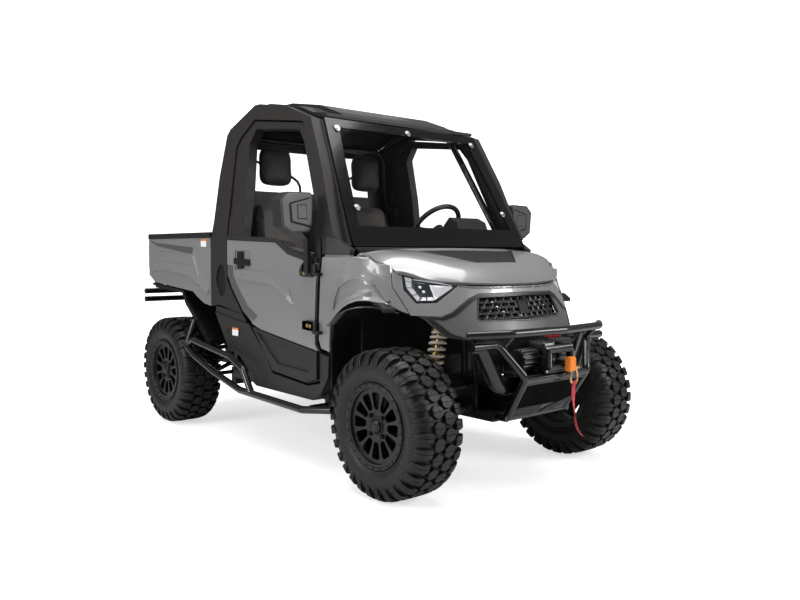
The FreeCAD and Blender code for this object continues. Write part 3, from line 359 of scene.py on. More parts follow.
def finish_of(name, colour, roughness, metallic=0.0, spread=0.10, patch=0.2, grain=0.0, pitch=0.002,
              coat=0.0, edge=0.002, gloss=0.5, dust=None):
    """A surface with colour patches, uneven gloss, fine grain and soft edges."""
    material, tree, shader, place = new_material(name)
    patches = noise(tree, place, patch)
    tint = blended(tree, patches, scaled(colour, 1 - spread), scaled(colour, 1 + spread))
    if dust:
        dusty = between(tree, noise(tree, place, patch * 0.35, 5.0), 0.0, 0.75, 0.42, 0.72)
        tint = blended(tree, dusty, tint, dust)
    tree.links.new(tint, shader.inputs["Base Color"])
    uneven = between(tree, noise(tree, place, patch * 0.5), roughness * 0.88, min(1.0, roughness * 1.12))
    tree.links.new(uneven, shader.inputs["Roughness"])
    shader.inputs["Metallic"].default_value = metallic
    shader.inputs["Coat Weight"].default_value = coat
    shader.inputs["Coat Roughness"].default_value = 0.06
    shader.inputs["Specular IOR Level"].default_value = gloss
    soft_edge = tree.nodes.new("ShaderNodeBevel")
    soft_edge.samples = 4
    soft_edge.inputs["Radius"].default_value = edge
    normal = soft_edge.outputs["Normal"]
    if grain:
        bump = tree.nodes.new("ShaderNodeBump")
        bump.inputs["Strength"].default_value = grain
        bump.inputs["Distance"].default_value = pitch * 0.4
        tree.links.new(noise(tree, place, pitch, 2.0), bump.inputs["Height"])
        tree.links.new(normal, bump.inputs["Normal"])
        normal = bump.outputs["Normal"]
    tree.links.new(normal, shader.inputs["Normal"])
    return material


print("finish helper ready")

# %% [markdown]
# The vehicle wears few finishes: silver metallic paint on its pressed panels,
# warm charcoal plastic on the cab and skirts, black tubes and mouldings, and
# small parts in steel, gold, cream, orange and red. Each line gives a linear
# colour, the roughness, and only what differs from a plain surface.

# %% Finishes of this vehicle
silver_paint = finish_of("silver_paint", (0.235, 0.237, 0.242), 0.34, metallic=0.35, spread=0.03, patch=0.6,
                         grain=0.04, pitch=0.0012, coat=1.0, edge=0.004)
charcoal = finish_of("charcoal_cladding", (0.0150, 0.0132, 0.0120), 0.50, spread=0.10, grain=0.25,
                     pitch=0.0014, edge=0.004, gloss=0.35)
roof_black = finish_of("roof_plastic", (0.012, 0.0105, 0.0095), 0.45, spread=0.12, grain=0.2, pitch=0.0016,
                       edge=0.006, gloss=0.4)
hood_black = finish_of("hood_insert_black", (0.010, 0.009, 0.0085), 0.50, spread=0.1, grain=0.3, pitch=0.0012,
                       gloss=0.35)
cover_grey = finish_of("bumper_grey", (0.095, 0.096, 0.100), 0.42, metallic=0.25, spread=0.05, grain=0.12,
                       pitch=0.001, edge=0.005)
# Near-black for painted shade under the fender lips and on the guard plate.
shade_black = finish_of("shade_black", (0.0012, 0.0012, 0.0013), 0.85, spread=0.1, gloss=0.05)
liner_black = finish_of("moulded_black", (0.004, 0.004, 0.004), 0.55, spread=0.15, grain=0.3,
                        pitch=0.002, gloss=0.25)
tube_black = finish_of("tube_gloss_black", (0.004, 0.004, 0.0045), 0.24, spread=0.1, grain=0.05, pitch=0.0015,
                       coat=0.25, gloss=0.4)
frame_black = finish_of("frame_satin_black", (0.006, 0.006, 0.006), 0.45, spread=0.2, grain=0.12, pitch=0.002,
                        gloss=0.3)
rim_black = finish_of("rim_satin_black", (0.0050, 0.0048, 0.0050), 0.36, spread=0.15, grain=0.06, pitch=0.001,
                      edge=0.002, gloss=0.35)
cast_grey = finish_of("cast_metal", (0.035, 0.034, 0.032), 0.55, metallic=0.5, spread=0.25, patch=0.05,
                      grain=0.4, pitch=0.004)
engine_dark = finish_of("engine_cast", (0.012, 0.012, 0.013), 0.55, metallic=0.4, spread=0.25, patch=0.06,
                        grain=0.4, pitch=0.004)
pipe_steel = finish_of("muffler_steel", (0.22, 0.205, 0.185), 0.42, metallic=0.9, spread=0.2,
                       patch=0.08, grain=0.1)
shaft_steel = finish_of("shaft_steel", (0.09, 0.09, 0.09), 0.35, metallic=0.8, spread=0.2, patch=0.05)
border_black = finish_of("glass_border_black", (0.003, 0.003, 0.003), 0.14, spread=0.05,
                         edge=0.001, gloss=0.4)
dash_black = finish_of("dash_plastic", (0.008, 0.008, 0.0085), 0.55, spread=0.1, grain=0.4, pitch=0.002,
                       edge=0.006, gloss=0.35)
grip_black = finish_of("steering_grip", (0.009, 0.0085, 0.0085), 0.45, spread=0.1, grain=0.3, pitch=0.001)
mirror_black = finish_of("mirror_shell", (0.010, 0.010, 0.0105), 0.42, spread=0.1, grain=0.25, pitch=0.0012,
                         edge=0.003, gloss=0.4)
mirror_grey = finish_of("mirror_panel", (0.058, 0.057, 0.056), 0.42, metallic=0.2, spread=0.06, grain=0.2,
                        pitch=0.0012)
winch_black = finish_of("winch_black", (0.006, 0.006, 0.0065), 0.30, spread=0.15, grain=0.15, pitch=0.0015,
                        edge=0.0015)
bright_steel = finish_of("bright_steel", (0.62, 0.61, 0.59), 0.25, metallic=1.0, spread=0.08,
                         patch=0.01, edge=0.0006)
hook_gold = finish_of("hook_gold", (0.62, 0.38, 0.19), 0.30, metallic=0.9, spread=0.18,
                      patch=0.01, edge=0.001)
damper_gold = finish_of("damper_gold", (0.30, 0.21, 0.08), 0.32, metallic=0.85, spread=0.15, patch=0.03)
spring_cream = finish_of("spring_cream", (0.66, 0.61, 0.52), 0.35, spread=0.08, patch=0.03, coat=0.3)
orange_part = finish_of("fairlead_orange", (0.85, 0.22, 0.01), 0.40, spread=0.08, patch=0.02, edge=0.001)
red_part = finish_of("red_plastic", (0.55, 0.012, 0.012), 0.35, spread=0.1, patch=0.02, edge=0.001)
label_white = finish_of("blank_label", (0.78, 0.78, 0.77), 0.45, spread=0.03, patch=0.02, edge=0.0003)
label_orange = finish_of("label_orange_edge", (0.75, 0.20, 0.03), 0.45, spread=0.05, patch=0.02, edge=0.0003)
grille_black = finish_of("grille_black", (0.007, 0.007, 0.007), 0.35, spread=0.1, grain=0.1,
                         pitch=0.001, edge=0.001)
bed_black = finish_of("bed_plastic", (0.009, 0.0085, 0.008), 0.55, spread=0.15, grain=0.35, pitch=0.003,
                      edge=0.004, gloss=0.3)
rubber = finish_of("tyre_rubber", (0.0058, 0.0049, 0.0042), 0.46, spread=0.25, patch=0.05, grain=0.25,
                   pitch=0.0025, edge=0.0015, dust=(0.015, 0.0115, 0.009), gloss=0.32)
lamp_red = finish_of("tail_lamp_red", (0.30, 0.004, 0.004), 0.12, spread=0.1, patch=0.01,
                     coat=0.8, edge=0.001)
rim_bead = finish_of("fender_rim_bead", (0.012, 0.012, 0.0125), 0.20, spread=0.1, coat=0.8)
# A darker silver for painted shade: the shaded bevel at the door's rear edge and a shaded wedge on the bed's
# side.
painted_shade_grey = finish_of("silver_painted_shade", (0.085, 0.086, 0.088), 0.34, metallic=0.35, spread=0.04, patch=0.5,
                      coat=0.8, edge=0.003)
lamp_bezel = finish_of("lamp_bezel", (0.004, 0.004, 0.0045), 0.22, spread=0.1, patch=0.03,
                       coat=0.3, edge=0.001)
print("finishes", len(bpy.data.materials))

# %% [markdown]
# Glass and lamp optics need their own trees. Window glass is nearly clear with
# a thin smoke tint. The reflector behind a lamp's lens is bright metal whose
# fine flutes come from a wave pattern, and it carries a faint painted glow that
# stands in for the light it catches. The mirror face uses the same tree.

# %% Glass and lamp finishes
def glass_of(name, tint, roughness, clear):
    """A thin pane: nearly all light goes straight through, the rest is gloss."""
    material, tree, shader, place = new_material(name)
    shader.inputs["Base Color"].default_value = (*tint, 1.0)
    shader.inputs["IOR"].default_value = 1.45
    smear = between(tree, noise(tree, place, 0.15), roughness, roughness + 0.03)
    tree.links.new(smear, shader.inputs["Roughness"])
    shader.inputs["Alpha"].default_value = 1.0 - clear
    return material


window_glass = glass_of("window_glass", (0.010, 0.011, 0.011), 0.01, 0.95)
lens_glass = glass_of("lens_glass", (0.25, 0.27, 0.29), 0.02, 0.95)


def reflector_of(name, colour, glow):
    """Fluted bright metal with a faint painted glow that stands in for the light it catches."""
    material, tree, shader, place = new_material(name)
    wave = tree.nodes.new("ShaderNodeTexWave")
    wave.inputs["Scale"].default_value = 90.0
    wave.inputs["Distortion"].default_value = 1.5
    tree.links.new(place, wave.inputs["Vector"])
    tint = blended(tree, wave.outputs["Fac"], scaled(colour, 0.75), colour)
    tree.links.new(tint, shader.inputs["Base Color"])
    shader.inputs["Metallic"].default_value = 0.6
    shader.inputs["Roughness"].default_value = 0.25
    # Painted glow: the emission makes the unlit metal shine.
    shader.inputs["Emission Color"].default_value = (*colour, 1.0)
    shader.inputs["Emission Strength"].default_value = glow
    bump = tree.nodes.new("ShaderNodeBump")
    bump.inputs["Strength"].default_value = 0.3
    bump.inputs["Distance"].default_value = 0.002
    tree.links.new(wave.outputs["Fac"], bump.inputs["Height"])
    tree.links.new(bump.outputs["Normal"], shader.inputs["Normal"])
    return material


# The headlamp reflector gets a painted glow of 0.22.
reflector = reflector_of("lamp_reflector", (0.80, 0.81, 0.84), 0.22)
projector_glass = finish_of("lamp_projector", (0.010, 0.014, 0.022), 0.08, spread=0.1, patch=0.01,
                            coat=1.0, edge=0.002)
# The mirror face gets a faint painted glow of 0.05.
mirror_glass = reflector_of("mirror_face", (0.62, 0.64, 0.68), 0.05)
print("glass and lamp finishes", window_glass.name, lens_glass.name, reflector.name, projector_glass.name)

# %% [markdown]
# Webbing and vinyl show their making from close by. Webbing is ribbed by two
# crossed waves. Seat vinyl has a fine pebble, and its lighter middle panel is
# told from the dark bolsters by the distance from the seat's own middle.

# %% Webbing and vinyl
def webbing_of(name, colour, pitch):
    """Woven strap: ribs across its run, from two crossed waves."""
    material, tree, shader, place = new_material(name)
    waves = []
    for axis in ("Z", "Y"):
        wave = tree.nodes.new("ShaderNodeTexWave")
        wave.bands_direction = axis
        wave.inputs["Scale"].default_value = 0.32 / pitch
        tree.links.new(place, wave.inputs["Vector"])
        waves.append(wave.outputs["Fac"])
    weave = tree.nodes.new("ShaderNodeMath")
    weave.operation = "MULTIPLY"
    tree.links.new(waves[0], weave.inputs[0])
    tree.links.new(waves[1], weave.inputs[1])
    tint = blended(tree, weave.outputs[0], scaled(colour, 0.6), scaled(colour, 1.15))
    tree.links.new(tint, shader.inputs["Base Color"])
    shader.inputs["Roughness"].default_value = 0.75
    shader.inputs["Sheen Weight"].default_value = 0.2
    bump = tree.nodes.new("ShaderNodeBump")
    bump.inputs["Strength"].default_value = 0.5
    bump.inputs["Distance"].default_value = 0.0006
    tree.links.new(weave.outputs[0], bump.inputs["Height"])
    tree.links.new(bump.outputs["Normal"], shader.inputs["Normal"])
    return material


strap_red = webbing_of("strap_red_webbing", (0.66, 0.012, 0.03), 0.0016)
belt_black = webbing_of("belt_black_webbing", (0.022, 0.022, 0.023), 0.0016)


def vinyl_of(name, middle, side, split, centre):
    """Seat vinyl: a lighter panel whose width is split, between dark bolsters."""
    material, tree, shader, place = new_material(name)
    parts = tree.nodes.new("ShaderNodeSeparateXYZ")
    tree.links.new(place, parts.inputs["Vector"])
    away = parts.outputs["Y"]
    for operation, value in (("ABSOLUTE", 0.0), ("SUBTRACT", centre), ("ABSOLUTE", 0.0)):
        step = tree.nodes.new("ShaderNodeMath")
        step.operation = operation
        tree.links.new(away, step.inputs[0])
        step.inputs[1].default_value = value
        away = step.outputs[0]
    bolster = between(tree, away, 0.0, 1.0, split - 0.003, split + 0.003)
    pebble = tree.nodes.new("ShaderNodeTexVoronoi")
    pebble.inputs["Scale"].default_value = 420.0
    tree.links.new(place, pebble.inputs["Vector"])
    patches = noise(tree, place, 0.08)
    light = blended(tree, patches, scaled(middle, 0.85), scaled(middle, 1.15))
    dark = blended(tree, patches, scaled(side, 0.85), scaled(side, 1.15))
    tree.links.new(blended(tree, bolster, light, dark), shader.inputs["Base Color"])
    shader.inputs["Roughness"].default_value = 0.55
    shader.inputs["Sheen Weight"].default_value = 0.15
    bump = tree.nodes.new("ShaderNodeBump")
    bump.inputs["Strength"].default_value = 0.35
    bump.inputs["Distance"].default_value = 0.0008
    tree.links.new(pebble.outputs["Distance"], bump.inputs["Height"])
    tree.links.new(bump.outputs["Normal"], shader.inputs["Normal"])
    return material


SEAT_MIDDLE_Y = 0.3365
seat_vinyl = vinyl_of("seat_vinyl", (0.105, 0.094, 0.084), (0.022, 0.021, 0.021), 0.135, SEAT_MIDDLE_Y)
head_vinyl = vinyl_of("headrest_vinyl", (0.026, 0.026, 0.028), (0.022, 0.022, 0.023), 0.2, SEAT_MIDDLE_Y)
print("soft finishes", strap_red.name, belt_black.name, seat_vinyl.name, head_vinyl.name)

# %% [markdown]
# The solids arrive as loose triangles. A small group of nodes welds them and
# marks only the sharp corners, so that gentle turns between flat facets shade
# as one smooth panel. The solids themselves stay as they are.

# %% Soft shading for the solids
def smoothing_group(angle):
    """Nodes that weld points and keep only edges sharper than the angle."""
    group = bpy.data.node_groups.new("weld_and_smooth_%d" % angle, "GeometryNodeTree")
    group.interface.new_socket("Geometry", in_out="INPUT", socket_type="NodeSocketGeometry")
    group.interface.new_socket("Geometry", in_out="OUTPUT", socket_type="NodeSocketGeometry")
    start = group.nodes.new("NodeGroupInput")
    end = group.nodes.new("NodeGroupOutput")
    weld = group.nodes.new("GeometryNodeMergeByDistance")
    weld.inputs["Distance"].default_value = 0.00002
    forget = group.nodes.new("GeometryNodeRemoveAttribute")
    forget.inputs["Name"].default_value = "custom_normal"
    edge = group.nodes.new("GeometryNodeInputMeshEdgeAngle")
    sharp = group.nodes.new("FunctionNodeCompare")
    sharp.data_type = "FLOAT"
    sharp.operation = "GREATER_THAN"
    sharp.inputs["B"].default_value = math.radians(angle)
    faces = group.nodes.new("GeometryNodeSetShadeSmooth")
    faces.domain = "FACE"
    edges = group.nodes.new("GeometryNodeSetShadeSmooth")
    edges.domain = "EDGE"
    edges.inputs["Shade Smooth"].default_value = False
    link = group.links.new
    link(start.outputs["Geometry"], forget.inputs["Geometry"])
    link(forget.outputs["Geometry"], weld.inputs["Geometry"])
    link(weld.outputs["Geometry"], faces.inputs["Geometry"])
    link(faces.outputs["Geometry"], edges.inputs["Geometry"])
    link(edge.outputs["Unsigned Angle"], sharp.inputs["A"])
    link(sharp.outputs["Result"], edges.inputs["Selection"])
    link(edges.outputs["Geometry"], end.inputs["Geometry"])
    return group


ROUND_FORMS = smoothing_group(32)
PRESSED_PANELS = smoothing_group(7)
print("shading groups", ROUND_FORMS.name, PRESSED_PANELS.name)

# %% [markdown]
# Each solid now gets its finish. Round forms blend wide turns into one
# surface, and pressed panels keep their creases.

# %% Dress the solids
def dress(finish, shading, *names):
    """Gives solids their finish and soft shading."""
    for name in names:
        obj = NODES[name]
        for slot in obj.material_slots:
            slot.material = finish
        modifier = obj.modifiers.new("weld_and_smooth", "NODES")
        modifier.node_group = shading


dress(silver_paint, ROUND_FORMS, "hood", "front_fascia", "front_fenders")
dress(silver_paint, PRESSED_PANELS, "bed_sides", "tailgate", "door_right_panel", "door_left_panel")
dress(charcoal, PRESSED_PANELS, "cab_side_arches", "side_skirts", "door_right_frame", "door_left_frame",
      "cab_rear_panel")
dress(roof_black, PRESSED_PANELS, "roof")
dress(hood_black, ROUND_FORMS, "hood_insert")
dress(cover_grey, ROUND_FORMS, "bumper_cover")
dress(liner_black, ROUND_FORMS, "wheel_liners", "rear_fenders", "floor_tub")
dress(tube_black, ROUND_FORMS, "front_guard", "step_bars", "rear_bumper", "roll_cage")
dress(frame_black, ROUND_FORMS, "main_frame", "front_arms", "rear_arms", "steering_column")
dress(rim_black, ROUND_FORMS, "rim_fr", "rim_fl", "rim_rr", "rim_rl")
dress(cast_grey, ROUND_FORMS, "knuckle_right", "knuckle_left")
dress(engine_dark, ROUND_FORMS, "powertrain")
dress(pipe_steel, ROUND_FORMS, "muffler")
dress(shaft_steel, ROUND_FORMS, "half_shafts", "tie_rods")
dress(border_black, PRESSED_PANELS, "windshield_frame")
dress(window_glass, PRESSED_PANELS, "cab_glass", "door_right_glass", "door_left_glass")
dress(dash_black, ROUND_FORMS, "dashboard")
dress(grip_black, ROUND_FORMS, "steering_wheel")
dress(mirror_black, ROUND_FORMS, "door_right_mirror", "door_left_mirror")
dress(winch_black, ROUND_FORMS, "winch")
dress(hook_gold, ROUND_FORMS, "winch_hook")
dress(bed_black, PRESSED_PANELS, "bed_box")
dress(lamp_red, PRESSED_PANELS, "tail_lights")
print("solids dressed", sum(len(obj.modifiers) > 0 for obj in NODES.values()))

# %% [markdown]
# The red pull strap is a free hanging cord. It follows a NURBS line through
# the route of its solid, and its flat width turns as it hangs: at the hook it
# faces forward, and lower down it has twisted nearly edge on.

# %% Pull strap
STRAP_WIDTH = 0.025
STRAP_X = 1.546
strap_route = [(STRAP_X, 0.070, 0.5017), (STRAP_X, 0.064, 0.450), (STRAP_X, 0.084, 0.339),
               (STRAP_X, 0.101, 0.280), (STRAP_X, 0.148, 0.243)]


def route_points(name, route, steps):
    """Points along a NURBS line whose control points are the route."""
    curve = bpy.data.curves.new(name, "CURVE")
    curve.dimensions = "3D"
    curve.resolution_u = steps
    spline = curve.splines.new("NURBS")
    spline.points.add(len(route) - 1)
    for point, place in zip(spline.points, route):
        point.co = (*place, 1.0)
    spline.order_u = 3
    spline.use_endpoint_u = True
    carrier = bpy.data.objects.new(name, curve)
    bpy.context.scene.collection.objects.link(carrier)
    bpy.context.view_layer.update()
    line = bpy.data.meshes.new_from_object(carrier.evaluated_get(bpy.context.evaluated_depsgraph_get()))
    points = np.zeros(len(line.vertices) * 3)
    line.vertices.foreach_get("co", points)
    bpy.data.objects.remove(carrier)
    return points.reshape(-1, 3)


def ribbon(path, width, thickness, twist):
    """A flat band: its width direction turns from y towards x by the twist."""
    share = np.linspace(0, 1, len(path))
    angle = twist * np.clip((share - 0.15) / 0.45, 0, 1)
    across = np.stack([np.sin(angle), np.cos(angle), 0 * angle], -1)
    through = np.stack([np.cos(angle), -np.sin(angle), 0 * angle], -1)
    corners = [(-1, -1), (1, -1), (1, 1), (-1, 1)]
    points = [path + across * a * width / 2 + through * b * thickness / 2 for a, b in corners]
    points = np.stack(points, 1)
    faces = grid_faces(len(path), 4, wrap_columns=True)
    faces += [[0, 1, 2, 3], [len(path) * 4 - 1 - index for index in range(4)]]
    return points, faces


strap_path = route_points("strap_route", strap_route, 12)
points, faces = ribbon(strap_path, STRAP_WIDTH, 0.003, math.radians(-60))
strap = add_piece("winch_strap_webbing", points, faces, strap_red, "chassis", "strap_red")
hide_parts("winch_strap")

LOOP_Y = 0.070
LOOP_Z = 0.5085
LOOP_STEPS = 33
turn = np.linspace(0, 2 * np.pi, LOOP_STEPS)
loop_rings = []
for radius, across in ((0.0072, -0.0115), (0.0098, -0.0115), (0.0098, 0.0115), (0.0072, 0.0115)):
    loop_rings.append(np.stack([STRAP_X + radius * np.sin(turn), np.full(LOOP_STEPS, LOOP_Y + across),
                                LOOP_Z - radius * np.cos(turn)], -1))
strap_loop = add_piece("winch_strap_loop", np.stack(loop_rings, 1),
                       grid_faces(LOOP_STEPS, 4, wrap_columns=True), strap_red, "chassis", "strap_red")

# %% [markdown]
# Stage: a pale floor that keeps the shadow, and a white surround for the
# camera. Only camera rays see the surround as pure white, so the object is lit
# by the lamps and not by the background.

# %% Floor and surround
floor_material, tree, shader, place = new_material("studio_floor")
shader.inputs["Base Color"].default_value = (0.86, 0.86, 0.86, 1.0)
shader.inputs["Roughness"].default_value = 0.9
shader.inputs["Specular IOR Level"].default_value = 0.1
rays = tree.nodes.new("ShaderNodeLightPath")
glow = tree.nodes.new("ShaderNodeMath")
glow.operation = "MULTIPLY"
away = tree.nodes.new("ShaderNodeVectorMath")
away.operation = "LENGTH"
tree.links.new(place, away.inputs[0])
fade = between(tree, away.outputs["Value"], 0.62, 1.6, 1.4, 3.4)
tree.links.new(rays.outputs["Is Camera Ray"], glow.inputs[0])
tree.links.new(fade, glow.inputs[1])
tree.links.new(glow.outputs[0], shader.inputs["Emission Strength"])
shader.inputs["Emission Color"].default_value = (1.0, 1.0, 1.0, 1.0)

FLOOR_HALF = 30.0
floor_points = np.array([(-1, -1, 0), (1, -1, 0), (1, 1, 0), (-1, 1, 0)]) * FLOOR_HALF
floor_mesh = bpy.data.meshes.new("floor")
floor_mesh.from_pydata(floor_points.tolist(), [], [[0, 1, 2, 3]])
floor_mesh.materials.append(floor_material)
floor = bpy.data.objects.new("floor", floor_mesh)
bpy.context.scene.collection.objects.link(floor)
floor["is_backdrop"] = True

world = bpy.data.worlds.new("surround")
bpy.context.scene.world = world
world.use_nodes = True
tree = world.node_tree
background = tree.nodes["Background"]
background.inputs["Color"].default_value = (1.0, 1.0, 1.0, 1.0)
rays = tree.nodes.new("ShaderNodeLightPath")
seen = tree.nodes.new("ShaderNodeMath")
seen.operation = "MAXIMUM"
tree.links.new(rays.outputs["Is Camera Ray"], seen.inputs[0])
tree.links.new(rays.outputs["Is Transmission Ray"], seen.inputs[1])
strength = between(tree, seen.outputs[0], 0.25, 1.7, 0.0, 1.0)
tree.links.new(strength, background.inputs["Strength"])
print("floor", 2 * FLOOR_HALF, "m wide")

# %% [markdown]
# Four large soft lamps light it as in a studio: one overhead, one ahead on the
# left, one low on the right for the doors, and a weak one from behind.

# %% Lamps
def soft_lamp(name, place, target, width, height, power):
    """A large rectangular lamp that faces a target."""
    data = bpy.data.lights.new(name, "AREA")
    data.shape = "RECTANGLE"
    data.size = width
    data.size_y = height
    data.energy = power
    lamp = bpy.data.objects.new(name, data)
    bpy.context.scene.collection.objects.link(lamp)
    lamp.location = place
    lamp.rotation_euler = (Vector(target) - Vector(place)).to_track_quat("-Z", "Y").to_euler()


soft_lamp("overhead", (0.9, -0.4, 4.2), (0.3, 0.0, 0.6), 4.2, 3.0, 205)
soft_lamp("front_left", (4.6, 2.4, 2.4), (0.8, 0.0, 0.8), 1.8, 1.8, 110)
soft_lamp("right_side", (-0.4, -4.6, 2.0), (0.2, -0.4, 0.9), 1.8, 1.5, 95)
soft_lamp("rear_fill", (-4.5, 2.5, 3.0), (-0.4, 0.0, 0.8), 3.0, 2.5, 60)
print("lamps", len(bpy.data.lights))

# %% [markdown]
# Tyres. A deep-lug tyre is a carcass turned about its axle, plus the same few
# rubber blocks at every pitch round it. A block is measured on the carcass:
# round the tyre, outward from the middle line over the shoulder, and up from
# the rubber. One array then carries it to every pitch, and shoulder blocks
# wrap down the side by themselves.

# %% Tyre carcass
AXLE_X = 1.085
WHEELS = {"fr": (AXLE_X, -1.0), "fl": (AXLE_X, 1.0), "rr": (-AXLE_X, -1.0), "rl": (-AXLE_X, 1.0)}
HALF_TRACK = 0.647
TYRE_RADIUS = 0.343
PITCHES = 30
GROOVE_RADIUS = 0.3245
CREST_RADIUS = 0.3428

SIDEWALL = [(0.1783, 0.1107), (0.1975, 0.1110), (0.2015, 0.1165), (0.2060, 0.1172), (0.2090, 0.1160),
            (0.2200, 0.1215), (0.2350, 0.1262), (0.2500, 0.1285), (0.2620, 0.1288), (0.2750, 0.1272),
            (0.2880, 0.1235), (0.3000, 0.1180), (0.3090, 0.1105), (0.3165, 0.1000), (0.3210, 0.0860),
            (0.3236, 0.0650), (GROOVE_RADIUS, 0.0400), (GROOVE_RADIUS, 0.0)]
carcass = np.array(SIDEWALL[5:][::-1])
carcass_reach = np.concatenate([[0], np.cumsum(np.linalg.norm(np.diff(carcass, axis=0), axis=1))])
print("from the middle line to the bulge", round(carcass_reach[-1], 4))


def on_carcass(reach):
    """Radius, half width and outward direction at a distance from the middle
    line, from the carcass outline and its slope."""
    radius = np.interp(reach, carcass_reach, carcass[:, 0])
    half = np.interp(reach, carcass_reach, carcass[:, 1])
    step = 0.004
    radius_run, half_run = [np.interp(reach + step, carcass_reach, carcass[:, index])
                            - np.interp(reach - step, carcass_reach, carcass[:, index]) for index in range(2)]
    length = np.hypot(radius_run, half_run)
    return radius, half, half_run / length, -radius_run / length

# %% [markdown]
# Tread blocks. Every row of the tread is one list of places from the middle
# line outwards, with the block's half width and height there. The centre
# blocks are six-sided, and the long lugs wrap over the shoulder down the side.

# %% Tread blocks
BLOCK_CHAMFER = 0.0022


def block_ring(rows, centre, side, hand, offset, groove):
    """Blocks at every pitch. rows holds reach, half width, shift round the
    tyre and height. The height of a point is the lesser of its row's and its
    column's, and the columns dip at the middle where a groove runs."""
    rows = np.asarray(rows, float)
    first, last = rows[0].copy(), rows[-1].copy()
    start = [first * (1, 1.03, 1, 0) - (0.0012, 0, 0, 0.003), first * (1, 1, 1, 0.88)]
    end = [last * (1, 1, 1, 0.88), last * (1, 1.03, 1, 0) + (0.0012, 0, 0, -0.003)]
    rows[0, 0] += BLOCK_CHAMFER
    rows[-1, 0] -= BLOCK_CHAMFER
    rows = np.concatenate([start, rows, end])
    reach, half, shift, height = [rows[:, index][:, None] for index in range(4)]
    chamfer = BLOCK_CHAMFER / np.maximum(half, 0.004)
    ones = np.ones_like(half)
    across = np.concatenate([-1.05 * ones, -ones, chamfer - 1, -groove / half, 0 * ones, groove / half,
                             1 - chamfer, ones, 1.05 * ones], 1)
    column_height = np.array([-1.0, 0.88, 1.0, 1.0, 0.72 if groove > 0.0008 else 1.0, 1.0, 1.0, 0.88, -1.0])
    top = np.where(column_height > 0, np.minimum(height * column_height, height), -0.003)
    top = np.where(height < 0, height, top)
    radius, width, radius_out, width_out = on_carcass(reach)
    radius = np.minimum(radius + top * radius_out, CREST_RADIUS)
    width = np.minimum(width + top * width_out, 0.1345)
    turn = (np.arange(PITCHES) + offset) * 2 * np.pi / PITCHES
    angle = turn[:, None, None] + ((across * half + shift) / TYRE_RADIUS)[None]
    points = np.stack([centre[0] + radius * np.sin(angle), centre[1] + side * hand * width + 0 * angle,
                       centre[2] - radius * np.cos(angle)], -1)
    single = grid_faces(len(rows), across.shape[1])
    faces = []
    for pitch in range(PITCHES):
        faces += shifted(single, pitch * across.size)
    return points, faces


CENTRE_ROWS = [(0.0030, 0.0150, 0.000, 0.0184), (0.0150, 0.0240, 0.000, 0.0184),
               (0.0320, 0.0300, 0.000, 0.0184), (0.0480, 0.0250, 0.000, 0.0184),
               (0.0590, 0.0150, 0.000, 0.0184)]
LONG_ROWS = [(0.0650, 0.0160, 0.000, 0.0186), (0.0760, 0.0225, 0.000, 0.0190),
             (0.0860, 0.0235, 0.001, 0.0196), (0.0960, 0.0215, 0.002, 0.0196),
             (0.1060, 0.0205, 0.003, 0.0185), (0.1160, 0.0200, 0.003, 0.0162),
             (0.1260, 0.0195, 0.003, 0.0130), (0.1265, 0.0150, 0.003, 0.0108),
             (0.1400, 0.0140, 0.003, 0.0085), (0.1500, 0.0120, 0.003, 0.0060)]
RIB_ROWS = [(0.1560, 0.0120, 0.003, 0.0012), (0.1580, 0.0120, 0.003, 0.0016), (0.1600, 0.0120, 0.003, 0.0012)]


def tyre(name, centre, side):
    """A carcass of revolution with its four rows of blocks and its side ribs."""
    outer = SIDEWALL + [(radius, -width) for radius, width in SIDEWALL[::-1]]
    parts = [revolved(outer + outer[:1], centre, 3 * PITCHES, side)]
    for hand in (1.0, -1.0):
        step = 0.0 if hand > 0 else 0.5
        parts.append(block_ring(CENTRE_ROWS, centre, side, hand, step, 0.0012))
        parts.append(block_ring(LONG_ROWS, centre, side, hand, step + 0.5, 0.0014))
        parts.append(block_ring(RIB_ROWS, centre, side, hand, step + 0.5, 0.0002))
    obj = add_parts("tyre_tread_" + name, parts, rubber, "wheel_" + name, "tyre_rubber", smooth=28.0)
    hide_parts("tyre_" + name)
    return obj


for name, (x, side) in WHEELS.items():
    made = tyre(name, (x, side * HALF_TRACK, TYRE_RADIUS), side)
print("tyre faces", len(made.data.polygons))

# %% [markdown]
# Wheels. The solid rim already has its twelve windows. The fine fittings on it
# are a bead ring with small bolts, four wheel nuts and a domed centre cap.

